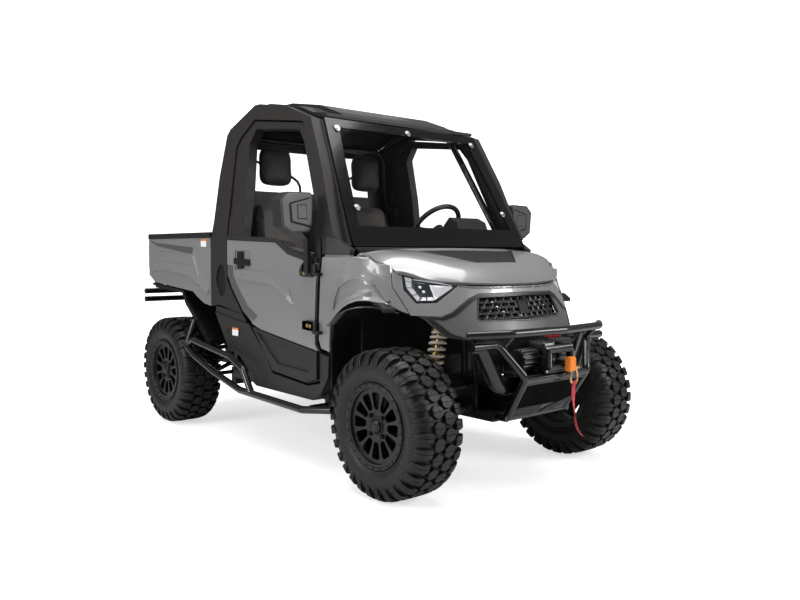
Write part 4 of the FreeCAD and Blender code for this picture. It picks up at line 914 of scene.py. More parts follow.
# %% Wheel fittings
def wheel_fittings(name, centre, side):
    """Rings turned about the axle, and bolts spaced evenly round it."""
    def on_face(a, b, height):
        return np.stack([centre[0] + a, centre[1] + side * height, centre[2] + b], -1)
    dark = [revolved([(0.181, 0.116), (0.181, 0.1205), (0.184, 0.122), (0.194, 0.122), (0.1965, 0.1205),
                      (0.1965, 0.116), (0.181, 0.116)], centre, 72, side)]
    dark.append(revolved([(0.0001, 0.1165), (0.014, 0.1160), (0.026, 0.1130), (0.0315, 0.107),
                          (0.0325, 0.095), (0.0001, 0.095)], centre, 40, side))
    dark.append(revolved([(0.036, 0.096), (0.036, 0.1035), (0.040, 0.105), (0.044, 0.1035), (0.044, 0.096),
                          (0.036, 0.096)], centre, 40, side))
    bright = []
    for step in range(24):
        turn = step * 2 * np.pi / 24
        middle = (0.189 * np.sin(turn), 0.189 * np.cos(turn))
        bright.append(raised(polygon(6, 0.0048, middle), 0.120, 0.1262, 0.001, on_face))
    for step in range(4):
        turn = (step + 0.5) * np.pi / 2
        middle = (0.058 * np.sin(turn), 0.058 * np.cos(turn))
        bright.append(raised(polygon(6, 0.011, middle), 0.096, 0.1125, 0.002, on_face))
        bright.append(raised(polygon(12, 0.006, middle), 0.110, 0.1180, 0.002, on_face))
    add_parts("rim_ring_and_cap_" + name, dark, rim_black, "wheel_" + name, "rim_black")
    add_parts("rim_bolts_" + name, bright, frame_black, "wheel_" + name, "rim_black")


for name, (x, side) in WHEELS.items():
    wheel_fittings(name, (x, side * HALF_TRACK, TYRE_RADIUS), side)
print("wheels fitted", len(WHEELS))

# %% [markdown]
# Shocks. A coil spring is a wire carried along a helix about the damper, and
# the helix is given directly: height and turn grow together. The wire closes
# up at both ends, where it sits on its collars.

# %% Coil springs and dampers
def shock(x, side):
    """A helix and a damper between the lower and the upper eye."""
    foot = np.array([x, side * 0.420, 0.475])
    head = np.array([x, side * 0.352, 0.772])
    along = (head - foot) / np.linalg.norm(head - foot)
    length = np.linalg.norm(head - foot)
    fore = np.array([1.0, 0.0, 0.0])
    out = np.cross(along, fore)
    share = np.linspace(0, 1, 260)
    turn = share * 2 * np.pi * 7.0
    lift = 0.25 + 0.64 * (share - 0.035 * np.sin(2 * np.pi * share))
    radius = 0.0365 - 0.006 * np.clip((lift - 0.75) / 0.15, 0, 1)
    path = (foot + along * (lift * length)[:, None]
            + (fore * np.cos(turn)[:, None] + out * np.sin(turn)[:, None]) * radius[:, None])
    coil = tube(path, 0.0075, 10, along)

    def lathe(rows, steps=28):
        """A profile of lift and radius turned about the damper."""
        profile = np.asarray(rows, float)
        circle = np.linspace(0, 2 * np.pi, steps, endpoint=False)[:, None, None]
        ring = fore * np.cos(circle) + out * np.sin(circle)
        points = foot + along * (profile[None, :, :1] * length) + ring * profile[None, :, 1:]
        return points, grid_faces(steps, len(profile), wrap_rows=True)
    body = lathe([(0.0, 0.0001), (0.0, 0.012), (0.10, 0.012), (0.10, 0.020), (0.55, 0.020), (0.55, 0.0135),
                  (1.0, 0.0135), (1.0, 0.0001)])
    collars = lathe([(0.185, 0.0001), (0.185, 0.030), (0.20, 0.043), (0.235, 0.043), (0.245, 0.028),
                     (0.245, 0.0001)])
    cap = lathe([(0.89, 0.0001), (0.89, 0.030), (0.90, 0.040), (0.935, 0.040), (0.95, 0.024), (0.95, 0.0001)])
    return coil, body, collars, cap


for end, x in (("front", AXLE_X), ("rear", -AXLE_X)):
    sides = [shock(x, side) for side in (-1.0, 1.0)]
    coils = [pieces[0] for pieces in sides]
    springs = add_parts(end + "_coil_springs", coils, spring_cream, "chassis", "spring_cream", smooth=60.0)
    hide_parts(end + "_shocks")
    dampers = [piece for pieces in sides for piece in pieces[1:]]
    add_parts(end + "_dampers", dampers, damper_gold, "chassis", "hook_gold")
print("coil springs", len(sides) * 2)

# %% [markdown]
# Nose surface. The lamps, the grille and the small marks on the nose lie on
# one surface whose forward reach depends on the width and the height. The
# formula is the one that shapes the solids: it falls back with the square and
# the fourth power of the width.

# %% Nose surface
def nose_x(y, z):
    """How far forward the nose reaches at a width and a height."""
    return 1.290 - 0.40 * (z - 0.900) - 0.496 * y ** 2 - 0.42 * y ** 4


def on_nose(side):
    """Places width, height and depth on the nose, mirrored for the left."""
    def place(y, z, depth):
        return np.stack([nose_x(y, z) + depth, side * y, z], -1)
    return place


def subdivided(outline, steps):
    """An outline with more points on each side, to follow a curved surface."""
    return divided(closed(outline), steps)[:-1]


print("nose reaches", nose_x(0.0, 0.900), "m forward at its middle")

# %% [markdown]
# Headlamps. Under a clear cover lie a black bezel, a bright triangle, a dark
# square lens and a fluted band round the outer end. The triangle, the band, the
# fine line and the two small rings carry the reflector's faint painted glow.
# All are outlines on the nose at slightly different depths, so they share one
# set of helpers.

# %% Headlamps
LAMP = [(0.564, 1.016), (0.350, 0.9645), (0.461, 0.887), (0.539, 0.885), (0.570, 0.947)]
LAMP_FIN_OUTER = [(0.553, 1.004), (0.560, 0.968), (0.533, 0.896), (0.476, 0.897), (0.438, 0.906)]
LAMP_FIN_INNER = [(0.528, 0.996), (0.537, 0.960), (0.517, 0.911), (0.478, 0.911), (0.450, 0.916)]
LAMP_LENS = [(0.524, 0.985), (0.482, 0.974), (0.468, 0.930), (0.478, 0.914), (0.513, 0.916), (0.531, 0.957)]
LAMP_TRIANGLE = [(0.466, 0.9665), (0.382, 0.9605), (0.368, 0.9555), (0.427, 0.908), (0.461, 0.911)]
LAMP_LINE = [(0.524, 0.9935), (0.374, 0.9665)], [(0.522, 0.9890), (0.376, 0.9630)]

bezels = []
bowls = []
lenses = []
covers = []
for side in (-1.0, 1.0):
    place = on_nose(side)
    bezels.append(raised(subdivided(LAMP, 6), -0.045, -0.012, 0.002, place))
    bezels.append(strip(closed(LAMP), closed(grown(LAMP, -0.012)),
                        (-0.012, -0.0015, -0.0030, -0.012), place, 6))
    fin_outer, fin_inner = divided(LAMP_FIN_OUTER, 6), divided(LAMP_FIN_INNER, 6)
    bowls.append(strip(fin_outer, fin_inner, (-0.012, -0.005, -0.009, -0.012), place, 1))
    for step in (3, 7, 10, 13, 16, 20):
        flute = np.array([fin_outer[step], fin_inner[step]])
        bezels.append(strip(flute, flute + 0.002, (-0.010, -0.0035, -0.0035, -0.010), place, 2))
    lenses.append(raised(subdivided(LAMP_LENS, 4), -0.012, -0.0065, 0.004, place))
    for y, z in ((0.507, 0.957), (0.498, 0.936)):
        bowls.append(raised(polygon(6, 0.0065, (y, z)), -0.008, -0.005, 0.001, place))
    bowls.append(raised(subdivided(LAMP_TRIANGLE, 4), -0.012, -0.0065, 0.003, place))
    bowls.append(strip(*LAMP_LINE, (-0.012, -0.0045, -0.0045, -0.012), place, 6))
    covers.append(raised(subdivided(grown(LAMP, -0.003), 6), -0.0028, -0.0014, 0.001, place))
bezel = add_parts("headlamp_bezels", bezels, lamp_bezel, "chassis", "lamp_lens")
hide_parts("headlights")
# The reflector parts shine with a faint painted glow.
add_parts("headlamp_reflectors", bowls, reflector, "chassis", "lamp_lens")
add_parts("headlamp_projectors", lenses, projector_glass, "chassis", "lamp_lens")
add_parts("headlamp_covers", covers, lens_glass, "chassis", "lamp_lens")
print("headlamp parts", len(bezels) + len(bowls) + len(lenses) + len(covers))

# %% [markdown]
# A fine seam with bright ticks joins the lamps, and black lips edge the bumper
# cover and its opening. A lip is a band between two lines, sunk or proud by
# less than a millimetre, because it is told by its colour.

# %% Light strip and bumper lips
STRIP_LINE = [(-0.345, 0.9610), (-0.282, 0.9530), (-0.180, 0.9495), (0.0, 0.9490), (0.180, 0.9495),
              (0.282, 0.9530), (0.345, 0.9610)]
STRIP_TICKS = (-0.315, -0.262, -0.185, -0.110, -0.036, 0.036, 0.110, 0.185, 0.262, 0.315)


def on_middle(y, z, depth):
    """Width, height and depth on the nose, with no mirroring."""
    return np.stack([nose_x(y, z) + depth, y, z], -1)


strip_low = [(y, z - 0.0030) for y, z in STRIP_LINE]
strip_high = [(y, z + 0.0030) for y, z in STRIP_LINE]
seam = strip(strip_high, strip_low, (-0.003, 0.0012, 0.0004, -0.003), on_middle, 8)
add_piece("nose_light_strip", *seam, cover_grey, "chassis", "grey_plastic")
ticks = []
for y in STRIP_TICKS:
    z = np.interp(y, *np.array(STRIP_LINE).T)
    lean = 0.004 * np.sign(y)
    ticks.append(strip([(y - 0.001 + lean, z + 0.007), (y - 0.001 - lean, z - 0.005)],
                       [(y + 0.001 + lean, z + 0.007), (y + 0.001 - lean, z - 0.005)],
                       (-0.002, 0.0022, 0.0022, -0.002), on_middle, 2))
add_parts("nose_light_ticks", ticks, bright_steel, "chassis", "lamp_lens")

LIP_TOP = [(0.508, 0.8235), (0.458, 0.8190), (0.414, 0.8360), (0.314, 0.9020), (0.262, 0.9200), (0.0, 0.9230)]
LIP_TOP_INNER = [(0.500, 0.8140), (0.450, 0.8080), (0.402, 0.8235), (0.304, 0.8870),
                 (0.268, 0.9060), (0.0, 0.9110)]
LIP_LOW = [(0.527, 0.8215), (0.513, 0.8105), (0.495, 0.7845), (0.461, 0.7395), (0.437, 0.7285),
           (0.385, 0.7200)]
LIP_LOW_INNER = [(0.510, 0.8205), (0.490, 0.8100), (0.464, 0.7820), (0.440, 0.7520), (0.422, 0.7420),
                 (0.380, 0.7290)]
LIP_MIDDLE = [(-0.211, 0.7225), (-0.163, 0.7225), (0.163, 0.7225), (0.211, 0.7225)]
LIP_MIDDLE_INNER = [(-0.200, 0.7300), (-0.150, 0.7530), (0.150, 0.7530), (0.200, 0.7300)]
OPENING = [(0.296, 0.814), (0.281, 0.803), (0.0, 0.798), (-0.281, 0.803), (-0.296, 0.814), (-0.264, 0.906),
           (0.0, 0.911), (0.264, 0.906)]
lips = [strip(LIP_MIDDLE, LIP_MIDDLE_INNER, (-0.008, -0.0005, -0.0005, -0.008), on_middle, 6)]
lips.append(strip(closed(grown(OPENING, 0.006)), closed(grown(OPENING, -0.001)),
                  (-0.004, 0.0000, -0.016, -0.020), on_middle, 6))
for side in (-1.0, 1.0):
    place = on_nose(side)
    lips.append(strip(LIP_TOP, LIP_TOP_INNER, (-0.008, -0.0003, -0.0012, -0.008), place, 6))
    lips.append(strip(LIP_LOW, LIP_LOW_INNER, (-0.010, -0.0010, -0.0003, -0.008), place, 5))
add_parts("bumper_cover_lips", lips, grille_black, "chassis", "black_plastic")
print("light ticks", len(ticks), "and bumper lips", len(lips))

# %% [markdown]
# Grille. The real mesh is a moulded net of long six-sided holes, offset from
# row to row, with a blank plate in the middle. Each cell is a ring between an
# outer and an inner hexagon, bent onto the nose surface.

# %% Mesh grille
CELL_WIDTH = 0.056
CELL_HEIGHT = 0.0270
GRILLE_LOW = 0.793
GRILLE_HIGH = 0.918
GRILLE_HALF = 0.300
cells = []
hexagon = np.array([(-0.5, 0.0), (-0.32, -0.5), (0.32, -0.5), (0.5, 0.0), (0.32, 0.5), (-0.32, 0.5)])
for row in range(6):
    for column in range(-7, 8):
        middle_y = column * CELL_WIDTH * 0.84 + (row % 2) * CELL_WIDTH * 0.42
        middle_z = GRILLE_LOW + 0.002 + row * CELL_HEIGHT * 0.93
        if abs(middle_y) > GRILLE_HALF - 0.02:
            continue
        outer = hexagon * (CELL_WIDTH, CELL_HEIGHT) + (middle_y, middle_z)
        inner = hexagon * (CELL_WIDTH * 0.72, CELL_HEIGHT * 0.56) + (middle_y, middle_z)
        rings = []
        for outline, depth in ((outer, -0.0225), (outer, -0.017), (inner, -0.0145), (inner, -0.0225)):
            outline = np.clip(outline, (-GRILLE_HALF, GRILLE_LOW), (GRILLE_HALF, GRILLE_HIGH))
            rings.append(np.stack([nose_x(outline[:, 0], outline[:, 1]) + depth, outline[:, 0],
                                   outline[:, 1]], -1))
        cells.append((np.stack(rings), grid_faces(4, 6, wrap_rows=True, wrap_columns=True)))
grille = add_parts("grille_mesh", cells, grille_black, "chassis", "grille_black", smooth=30.0)
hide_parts("grille")
backing = raised(subdivided([(-0.315, 0.782), (0.315, 0.782), (0.290, 0.928), (-0.290, 0.928)], 8),
                 -0.036, -0.030, 0.001, on_middle)
plate = raised(subdivided([(-0.036, 0.822), (0.030, 0.822), (0.030, 0.894), (-0.036, 0.894)], 3),
               -0.032, -0.011, 0.003, on_middle)
add_piece("grille_backing", *joined([backing, plate]), liner_black, "chassis", "grille_black")
studs = []
for y, z in ((-0.192, 0.884), (-0.170, 0.862), (-0.140, 0.838), (-0.030, 0.818), (0.075, 0.880),
             (0.104, 0.862), (0.120, 0.846), (0.150, 0.884), (0.176, 0.858)):
    studs.append(raised(polygon(6, 0.0038, (y, z)), -0.018, -0.0125, 0.001, on_middle))
add_parts("grille_studs", studs, bright_steel, "chassis", "hook_gold")
print("grille cells", len(cells))

# %% [markdown]
# Seats. Each pad starts as a rounded block a little smaller than its solid,
# then a short cloth simulation with inner pressure swells it between its
# edges. The right pads are simulated, and the left ones are their mirror
# image, because both seats are alike.

# %% Padded seats
def pad_points(length, width, height, power, rows=24, columns=36):
    """A rounded block: sines and cosines raised to a small power."""
    tilt = np.linspace(-np.pi / 2, np.pi / 2, rows)[:, None]
    turn = np.linspace(0, 2 * np.pi, columns, endpoint=False)[None]

    def soft(value):
        return np.sign(value) * np.abs(value) ** power
    x = soft(np.cos(tilt)) * soft(np.cos(turn)) * length / 2
    y = soft(np.cos(tilt)) * soft(np.sin(turn)) * width / 2
    z = soft(np.sin(tilt)) * height / 2 + 0 * turn
    return np.stack([x, y, z], -1)


def moved_pad(points, middle, lean, taper=0.0):
    """Leans a pad about y and narrows it towards its top, then places it."""
    x, y, z = points[..., 0], points[..., 1], points[..., 2]
    y = y * (1 - taper * np.clip(z / np.abs(z).max(), 0, 1) ** 2)
    cosine, sine = math.cos(lean), math.sin(lean)
    moved = np.stack([x * cosine - z * sine, y, x * sine + z * cosine], -1)
    return moved + np.asarray(middle)


PAD_VOXEL = 0.010
PAD_CAP = 0.012


def swollen(obj):
    """Remeshes a pad, swells it as cloth with inner pressure and keeps it in reach."""
    scene = bpy.context.scene
    bpy.context.view_layer.objects.active = obj
    remesh = obj.modifiers.new("remesh", "REMESH")
    remesh.mode = "VOXEL"
    remesh.voxel_size = PAD_VOXEL
    bpy.ops.object.modifier_apply(modifier=remesh.name)
    count = len(obj.data.vertices)
    start = np.zeros(count * 3)
    obj.data.vertices.foreach_get("co", start)
    cloth = obj.modifiers.new("cloth", "CLOTH")
    cloth.settings.use_pressure = True
    cloth.settings.uniform_pressure_force = 4.0
    cloth.settings.effector_weights.gravity = 0.0
    cloth.settings.quality = 4
    cloth.collision_settings.use_collision = False
    cloth.point_cache.frame_start = 1
    cloth.point_cache.frame_end = 14
    for step in range(1, 15):
        scene.frame_set(step)
    result = obj.evaluated_get(bpy.context.evaluated_depsgraph_get())
    end = np.zeros(count * 3)
    result.data.vertices.foreach_get("co", end)
    scene.frame_set(1)
    obj.modifiers.remove(cloth)
    start, end = start.reshape(-1, 3), end.reshape(-1, 3)
    move = end - start
    reach = np.linalg.norm(move, axis=1, keepdims=True)
    move *= np.minimum(1.0, PAD_CAP / np.maximum(reach, 1e-9))
    obj.data.vertices.foreach_set("co", (start + move).ravel())
    obj.data.update()


PADS = {
    "seat_cushion": ((0.475, 0.415, 0.092, 0.30), (-0.070, -0.3465, 0.812), 2.0, 0.0, seat_vinyl),
    "seat_back": ((0.082, 0.395, 0.540, 0.34), (-0.345, -0.335, 1.155), 7.0, 0.10, seat_vinyl),
    "seat_headrest": ((0.070, 0.216, 0.232, 0.42), (-0.380, -0.350, 1.637), 3.0, 0.10, head_vinyl),
}
for name, (size, centre, lean, taper, vinyl) in PADS.items():
    block = moved_pad(pad_points(*size), centre, math.radians(lean), taper)
    faces = grid_faces(block.shape[0], block.shape[1], wrap_columns=True)
    right = add_piece(name + "_right", block, faces, vinyl, "chassis", "seat_fabric", smooth=180.0)
    weld = right.modifiers.new("weld", "WELD")
    weld.merge_threshold = 0.0005
    bpy.context.view_layer.objects.active = right
    bpy.ops.object.modifier_apply(modifier=weld.name)
    swollen(right)
    right.data.polygons.foreach_set("use_smooth", np.ones(len(right.data.polygons), bool))
    left_mesh = right.data.copy()
    co = np.zeros(len(left_mesh.vertices) * 3)
    left_mesh.vertices.foreach_get("co", co)
    co.reshape(-1, 3)[:, 1] *= -1
    left_mesh.vertices.foreach_set("co", co)
    left_mesh.flip_normals()
    left = bpy.data.objects.new(name + "_left", left_mesh)
    bpy.context.scene.collection.objects.link(left)
    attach(left, "chassis")
    for pad in (right, left):
        surface = pad.modifiers.new("smooth_surface", "SUBSURF")
        surface.levels = 1
        surface.render_levels = 1
    if name == "seat_cushion":
        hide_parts("seat_pads")
print("pads", 2 * len(PADS))

# %% [markdown]
# Belts and hoops. A belt is flat webbing that hangs straight down beside its
# seat with a slight wave. A black hoop behind each headrest carries it, bent
# through a few measured places.

# %% Belts and headrest hoops
BELT_STEPS = 40
HOOP = [(0.560, 1.700), (0.470, 1.668), (0.380, 1.640), (0.280, 1.612), (0.205, 1.588), (0.160, 1.562),
        (0.140, 1.530), (0.138, 1.490), (0.138, 1.440)]
belts = []
hoops = []
for side in (-1.0, 1.0):
    share = np.linspace(0, 1, BELT_STEPS)
    run = np.stack([-0.328 - 0.018 * share + 0.004 * np.sin(share * 9),
                    side * (0.5955 - 0.002 * np.sin(share * 7)), 0.503 + 0.960 * share], -1)
    across = np.array([0.0235, 0.0, 0.0])
    through = np.array([0.0, 0.0007, 0.0])
    corners = [run - across - through, run + across - through, run + across + through, run - across + through]
    last = 4 * BELT_STEPS - 1
    belt_faces = grid_faces(BELT_STEPS, 4, wrap_columns=True)
    belt_faces += [[0, 1, 2, 3], [last - index for index in range(4)]]
    belts.append((np.stack(corners, 1), belt_faces))
    hoop = np.array([(-0.425, side * y, z) for y, z in HOOP])
    bend = np.linspace(0, len(hoop) - 1, 40)
    hoop_path = np.stack([np.interp(bend, np.arange(len(hoop)), hoop[:, axis]) for axis in range(3)], -1)
    hoops.append(tube(hoop_path, 0.008, 12, (1, 0, 0)))
belt = add_parts("seat_belt_webbing", belts, belt_black, "chassis", "belt_web")
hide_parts("seat_belts")
add_parts("headrest_hoops", hoops, frame_black, "chassis", "frame_black")
print("belts", len(belts), "and hoops", len(hoops))

# %% [markdown]
# Small fittings start with the five washers that hold the windshield. Each is
# a bevelled outline that stands on the plane of the glass.

# %% Windshield washers
GLASS_SLOPE = 0.528
GLASS_FACE = 0.0193


def on_windshield(y, z, lift):
    """A point in the windshield's plane, lifted along its normal."""
    x = 0.438 + (1.751 - z) * GLASS_SLOPE
    lean = math.hypot(1.0, GLASS_SLOPE)
    return np.stack([x + (GLASS_FACE + lift) / lean, y, z + (GLASS_FACE + lift) * GLASS_SLOPE / lean], -1)


washers = []
for y, z in ((-0.498, 1.748), (0.0, 1.770), (0.498, 1.748), (-0.5385, 1.330), (0.5385, 1.330)):
    washers.append(raised(polygon(20, 0.0165, (y, z)), 0.0, 0.005, 0.002, on_windshield))
    washers.append(raised(polygon(6, 0.008, (y, z)), 0.004, 0.011, 0.0015, on_windshield))
add_parts("windshield_washers", washers, bright_steel, "chassis", "hook_gold")
print("washers", len(washers) // 2)

# %% [markdown]
# Doors. The real skin is pressed sheet with a raised band that stands a few
# millimetres proud along its lower edge, a T-shaped latch over a shallow
# pocket, and black hinge feet with bolts. All are plates and bands on the
# door's upright plane, and they ride on the door.

# %% Door fittings
DOOR_SKIN_Y = 0.704
LATCH_UPRIGHT = [(-0.218, 1.119), (-0.160, 1.119), (-0.160, 1.080), (-0.162, 1.022), (-0.218, 1.021),
                 (-0.219, 1.080)]
LATCH_GRIP = [(-0.249, 1.082), (-0.078, 1.074), (-0.078, 1.038), (-0.249, 1.046)]
POCKET_HIGH = [(-0.232, 1.130), (-0.083, 1.127), (-0.080, 1.032)]
POCKET_LOW = [(-0.230, 1.125), (-0.087, 1.122), (-0.085, 1.032)]
BAND_HIGH = [(-0.262, 1.006), (-0.229, 1.017), (0.156, 1.006), (0.246, 0.967), (0.317, 0.924), (0.352, 0.849)]
BAND_LOW = [(-0.258, 0.990), (-0.217, 0.964), (0.140, 0.944), (0.222, 0.908), (0.296, 0.872), (0.350, 0.844)]
# Outlines of the painted shade on the door's rear and lower bevel.
EDGE_SHADE_OUTER = [(-0.340, 1.036), (-0.340, 0.985), (-0.286, 0.905), (-0.166, 0.780), (-0.062, 0.722)]
EDGE_SHADE_INNER = [(-0.278, 1.036), (-0.274, 0.985), (-0.222, 0.920), (-0.110, 0.812), (-0.010, 0.765)]
LOWER_FOOT = [(0.458, 0.768), (0.500, 0.775), (0.560, 0.768), (0.560, 0.720), (0.460, 0.727)]
UPPER_FOOT = [(0.432, 1.026), (0.466, 1.068), (0.540, 1.068), (0.540, 0.992), (0.438, 0.994)]
HINGE_BOLTS = [(0.505, 0.749), (0.531, 0.747), (0.478, 1.011)]


def door_pieces(side, name):
    """Latch, pressed relief, a darker band of painted shade along the rear and lower edge, hinge bolts and
    hinge feet of a door.
    """
    on_door = beside(side, DOOR_SKIN_Y)
    body = "door_" + name
    latch = [raised(LATCH_UPRIGHT, -0.001, 0.0060, 0.002, on_door),
             raised(rounded(LATCH_GRIP, 0.006, 3), 0.004, 0.0125, 0.003, on_door)]
    add_parts("door_latch_" + name, latch, liner_black, body, "black_plastic")
    relief = [strip(BAND_HIGH, BAND_LOW, (-0.002, 0.0004, 0.0090, -0.002), on_door, 1),
              strip(POCKET_HIGH, POCKET_LOW, (-0.002, 0.0022, 0.0005, -0.002), on_door, 1)]
    add_parts("door_skin_relief_" + name, relief, silver_paint, body, "silver_paint", smooth=5.0)
    # A darker grey band along the rear and lower edge is painted shade, standing in for the shaded face of
    # the bevel.
    painted_shade = strip(EDGE_SHADE_OUTER, EDGE_SHADE_INNER, (-0.004, -0.0005, 0.0025, -0.002), on_door, 2)
    add_piece("door_edge_painted_shade_" + name, *painted_shade, painted_shade_grey, body, "silver_paint", smooth=5.0)
    bolts = []
    for x, z in HINGE_BOLTS:
        bolts.append(raised(polygon(6, 0.0075, (x, z)), 0.018, 0.0265, 0.0015, on_door))
        bolts.append(raised(polygon(18, 0.0110, (x, z)), 0.0175, 0.0222, 0.001, on_door))
    add_parts("door_hinge_bolts_" + name, bolts, damper_gold, body, "hook_gold")
    covers = [raised(rounded(foot, 0.008, 3), -0.002, 0.0200, 0.003, on_door)
              for foot in (LOWER_FOOT, UPPER_FOOT)]
    add_parts("door_hinge_covers_" + name, covers, mirror_black, body, "frame_black")


for name, side in SIDES.items():
    door_pieces(side, name)
print("doors fitted", len(SIDES))

# %% [markdown]
# Fenders. Over each arch the sheet is pressed into a brow with a sharp crease,
# and below the crease it sweeps out to a lip. The crease is found on the
# fender's own skin by a ray from the side, and the sweep runs from there to
# the flare's outer edge. Its lift grows with a power of the way, so that it is
# hollow at the top and leans out at the lip.

# %% Fender sweep
FLARE_PLAN = [(0.600, 0.735), (0.880, 0.735), (0.955, 0.706), (1.030, 0.640), (1.090, 0.575)]
BROW = [(0.704, 0.838), (0.712, 0.885), (0.744, 0.946), (0.800, 0.976), (0.846, 0.993), (0.888, 0.993),
        (0.935, 0.982), (0.974, 0.966), (1.004, 0.921), (1.030, 0.880)]
BROW_FADE = [(0.668, 0.848), (0.674, 0.905), (0.716, 0.982), (0.785, 1.018), (0.842, 1.034), (0.894, 1.033),
             (0.950, 1.019), (0.996, 0.995), (1.020, 0.935), (1.040, 0.885)]
LIP = [(0.718, 0.772), (0.756, 0.809), (0.795, 0.838), (0.830, 0.862), (0.882, 0.884), (0.921, 0.897),
       (0.950, 0.899), (0.973, 0.898), (1.022, 0.882), (1.058, 0.856)]
LIP_INNER = [(0.702, 0.760), (0.742, 0.795), (0.782, 0.820), (0.820, 0.838), (0.866, 0.852), (0.910, 0.862),
             (0.950, 0.866), (0.985, 0.866), (1.030, 0.856), (1.066, 0.838)]
fender = bpy.data.objects["front_fenders"]
fender_tree = BVHTree.FromPolygons([point.co for point in fender.data.vertices],
                                   [face.vertices for face in fender.data.polygons])


def on_fender(side):
    """Length and height on the fender's own skin, and the lift off it: a ray
    straight in from the side finds the skin."""
    def place(x, z, lift):
        rows = []
        for length, height, off in zip(np.ravel(x), np.ravel(z), np.ravel(lift)):
            hit = fender_tree.ray_cast((length, side * 2.0, height), (0, -side, 0))[0]
            rows.append((length, hit.y + side * off if hit else side * 0.60, height))
        return np.array(rows).reshape(np.shape(x) + (3,))
    return place


def outer_plan(x, lift, side):
    """How far out the flare reaches at each length."""
    return side * (np.interp(x, *np.array(FLARE_PLAN).T) + lift)


sweeps = []
lip_shades = []
rim_lines = []
for side in (-1.0, 1.0):
    place = on_fender(side)
    sweeps.append(strip(BROW_FADE, BROW, (-0.004, 0.0004, 0.0080, -0.004), place, 4))
    brow, lip = divided(BROW, 4), divided(LIP, 4)
    brow_points = place(brow[:, 0], brow[:, 1], np.full(len(brow), -0.002))
    lip_points = np.stack([lip[:, 0], outer_plan(lip[:, 0], 0.014, side), lip[:, 1]], -1)
    share = np.linspace(0, 1, 9)[None, :, None]
    outward = np.concatenate([share, share ** 1.45, share], -1)
    outer = brow_points[:, None] + (lip_points - brow_points)[:, None] * outward
    edge = outer[:, -1:] + (0, -side * 0.0015, -0.004)
    back = np.stack([lip_points + (0, -side * 0.020, 0.004), brow_points + (0, -side * 0.006, 0)], 1)
    sweep = np.concatenate([outer, edge, back], 1)
    rows, columns = sweep.shape[:2]
    sweep_faces = grid_faces(rows, columns, wrap_columns=True)
    sweep_faces += [list(range(columns)), list(range(rows * columns - 1, (rows - 1) * columns - 1, -1))]
    sweeps.append((sweep, sweep_faces))

    def on_plan(x, z, lift):
        return np.stack([x, outer_plan(x, lift, side), z], -1)
    # A near-black band under each lip is painted shade, where the arch's underside lies dark.
    lip_shades.append(strip(np.array(LIP) + (0, 0.003), LIP_INNER, (-0.004, 0.0095, 0.0030, -0.004), on_plan, 4))
    low = divided(LIP_INNER, 3)
    bead = np.stack([low[:, 0], outer_plan(low[:, 0], 0.002, side), low[:, 1]], -1)
    rim_lines.append(tube(bead, 0.0040, 10))
add_parts("fender_sweeps", sweeps, silver_paint, "chassis", "silver_paint", smooth=28.0)
add_parts("fender_lip_shades", lip_shades, shade_black, "chassis", "black_plastic")
add_parts("fender_rim_beads", rim_lines, rim_bead, "chassis", "black_plastic")
print("fender sweeps", len(lip_shades), "with", len(sweep_faces), "faces each")

# %% [markdown]
# The bed's side is pressed like the door, with a raised band and a darker
# wedge of painted shade. The pillar has a black vent. Two labels on each side stay blank.

# %% Bed, pillar and skirt marks
SIDE_Y = 0.700
BED_HIGH = [(-1.400, 0.985), (-1.279, 1.096), (-1.127, 1.090), (-0.824, 1.051), (-0.692, 0.997),
            (-0.570, 0.915)]
BED_LOW = [(-1.392, 0.972), (-1.262, 1.000), (-1.127, 0.990), (-0.826, 0.968), (-0.713, 0.925),
           (-0.584, 0.856)]
BED_WEDGE_HIGH = [(-1.420, 1.190), (-1.321, 1.174), (-0.782, 1.142)]
BED_WEDGE_LOW = [(-1.400, 1.180), (-1.299, 1.145), (-0.803, 1.094)]
VENT = [(-0.436, 1.044), (-0.470, 1.012), (-0.490, 0.955), (-0.478, 0.908), (-0.450, 0.861), (-0.416, 0.849),
        (-0.386, 0.869), (-0.371, 0.912), (-0.374, 0.996), (-0.397, 1.033)]
LABELS = {"bed": ("bed", -0.643, 1.169), "skirt": ("chassis", -0.262, 0.655)}
LABEL_HALF = 0.034


def label_part(x, z, low, high, place):
    """A flat rectangle about x, between two heights above and below z."""
    outline = [(x - LABEL_HALF, z + low), (x + LABEL_HALF, z + low), (x + LABEL_HALF, z + high),
               (x - LABEL_HALF, z + high)]
    return raised(outline, -0.001, 0.0012, 0.0003, place)


def side_pieces(side, name):
    """Relief and shade of the bed's side, the vent and the blank labels."""
    on_side = beside(side, SIDE_Y)
    band = strip(BED_HIGH, BED_LOW, (-0.002, 0.0006, 0.0130, -0.002), on_side, 1)
    add_piece("bed_side_relief_" + name, *band, silver_paint, "bed", "silver_paint", smooth=5.0)
    # The darker wedge is painted shade on the bed's side.
    dark = strip(BED_WEDGE_HIGH, BED_WEDGE_LOW, (-0.002, 0.0020, -0.0005, -0.002), on_side, 1)
    add_piece("bed_side_shade_" + name, *dark, painted_shade_grey, "bed", "silver_paint", smooth=5.0)
    vent = raised(grown(VENT, -0.006), -0.0090, -0.0080, 0.0005, on_side)
    add_piece("pillar_vent_" + name, *vent, liner_black, "chassis", "black_plastic")
    for mark, (body, x, z) in LABELS.items():
        white = label_part(x, z, -0.022, 0.012, on_side)
        top = label_part(x, z, 0.012, 0.023, on_side)
        add_piece("blank_label_" + mark + "_" + name, *white, label_white, body, "silver_paint")
        add_piece("blank_label_edge_" + mark + "_" + name, *top, label_orange, body, "silver_paint")


for name, side in SIDES.items():
    side_pieces(side, name)
print("blank labels", len(LABELS) * len(SIDES))

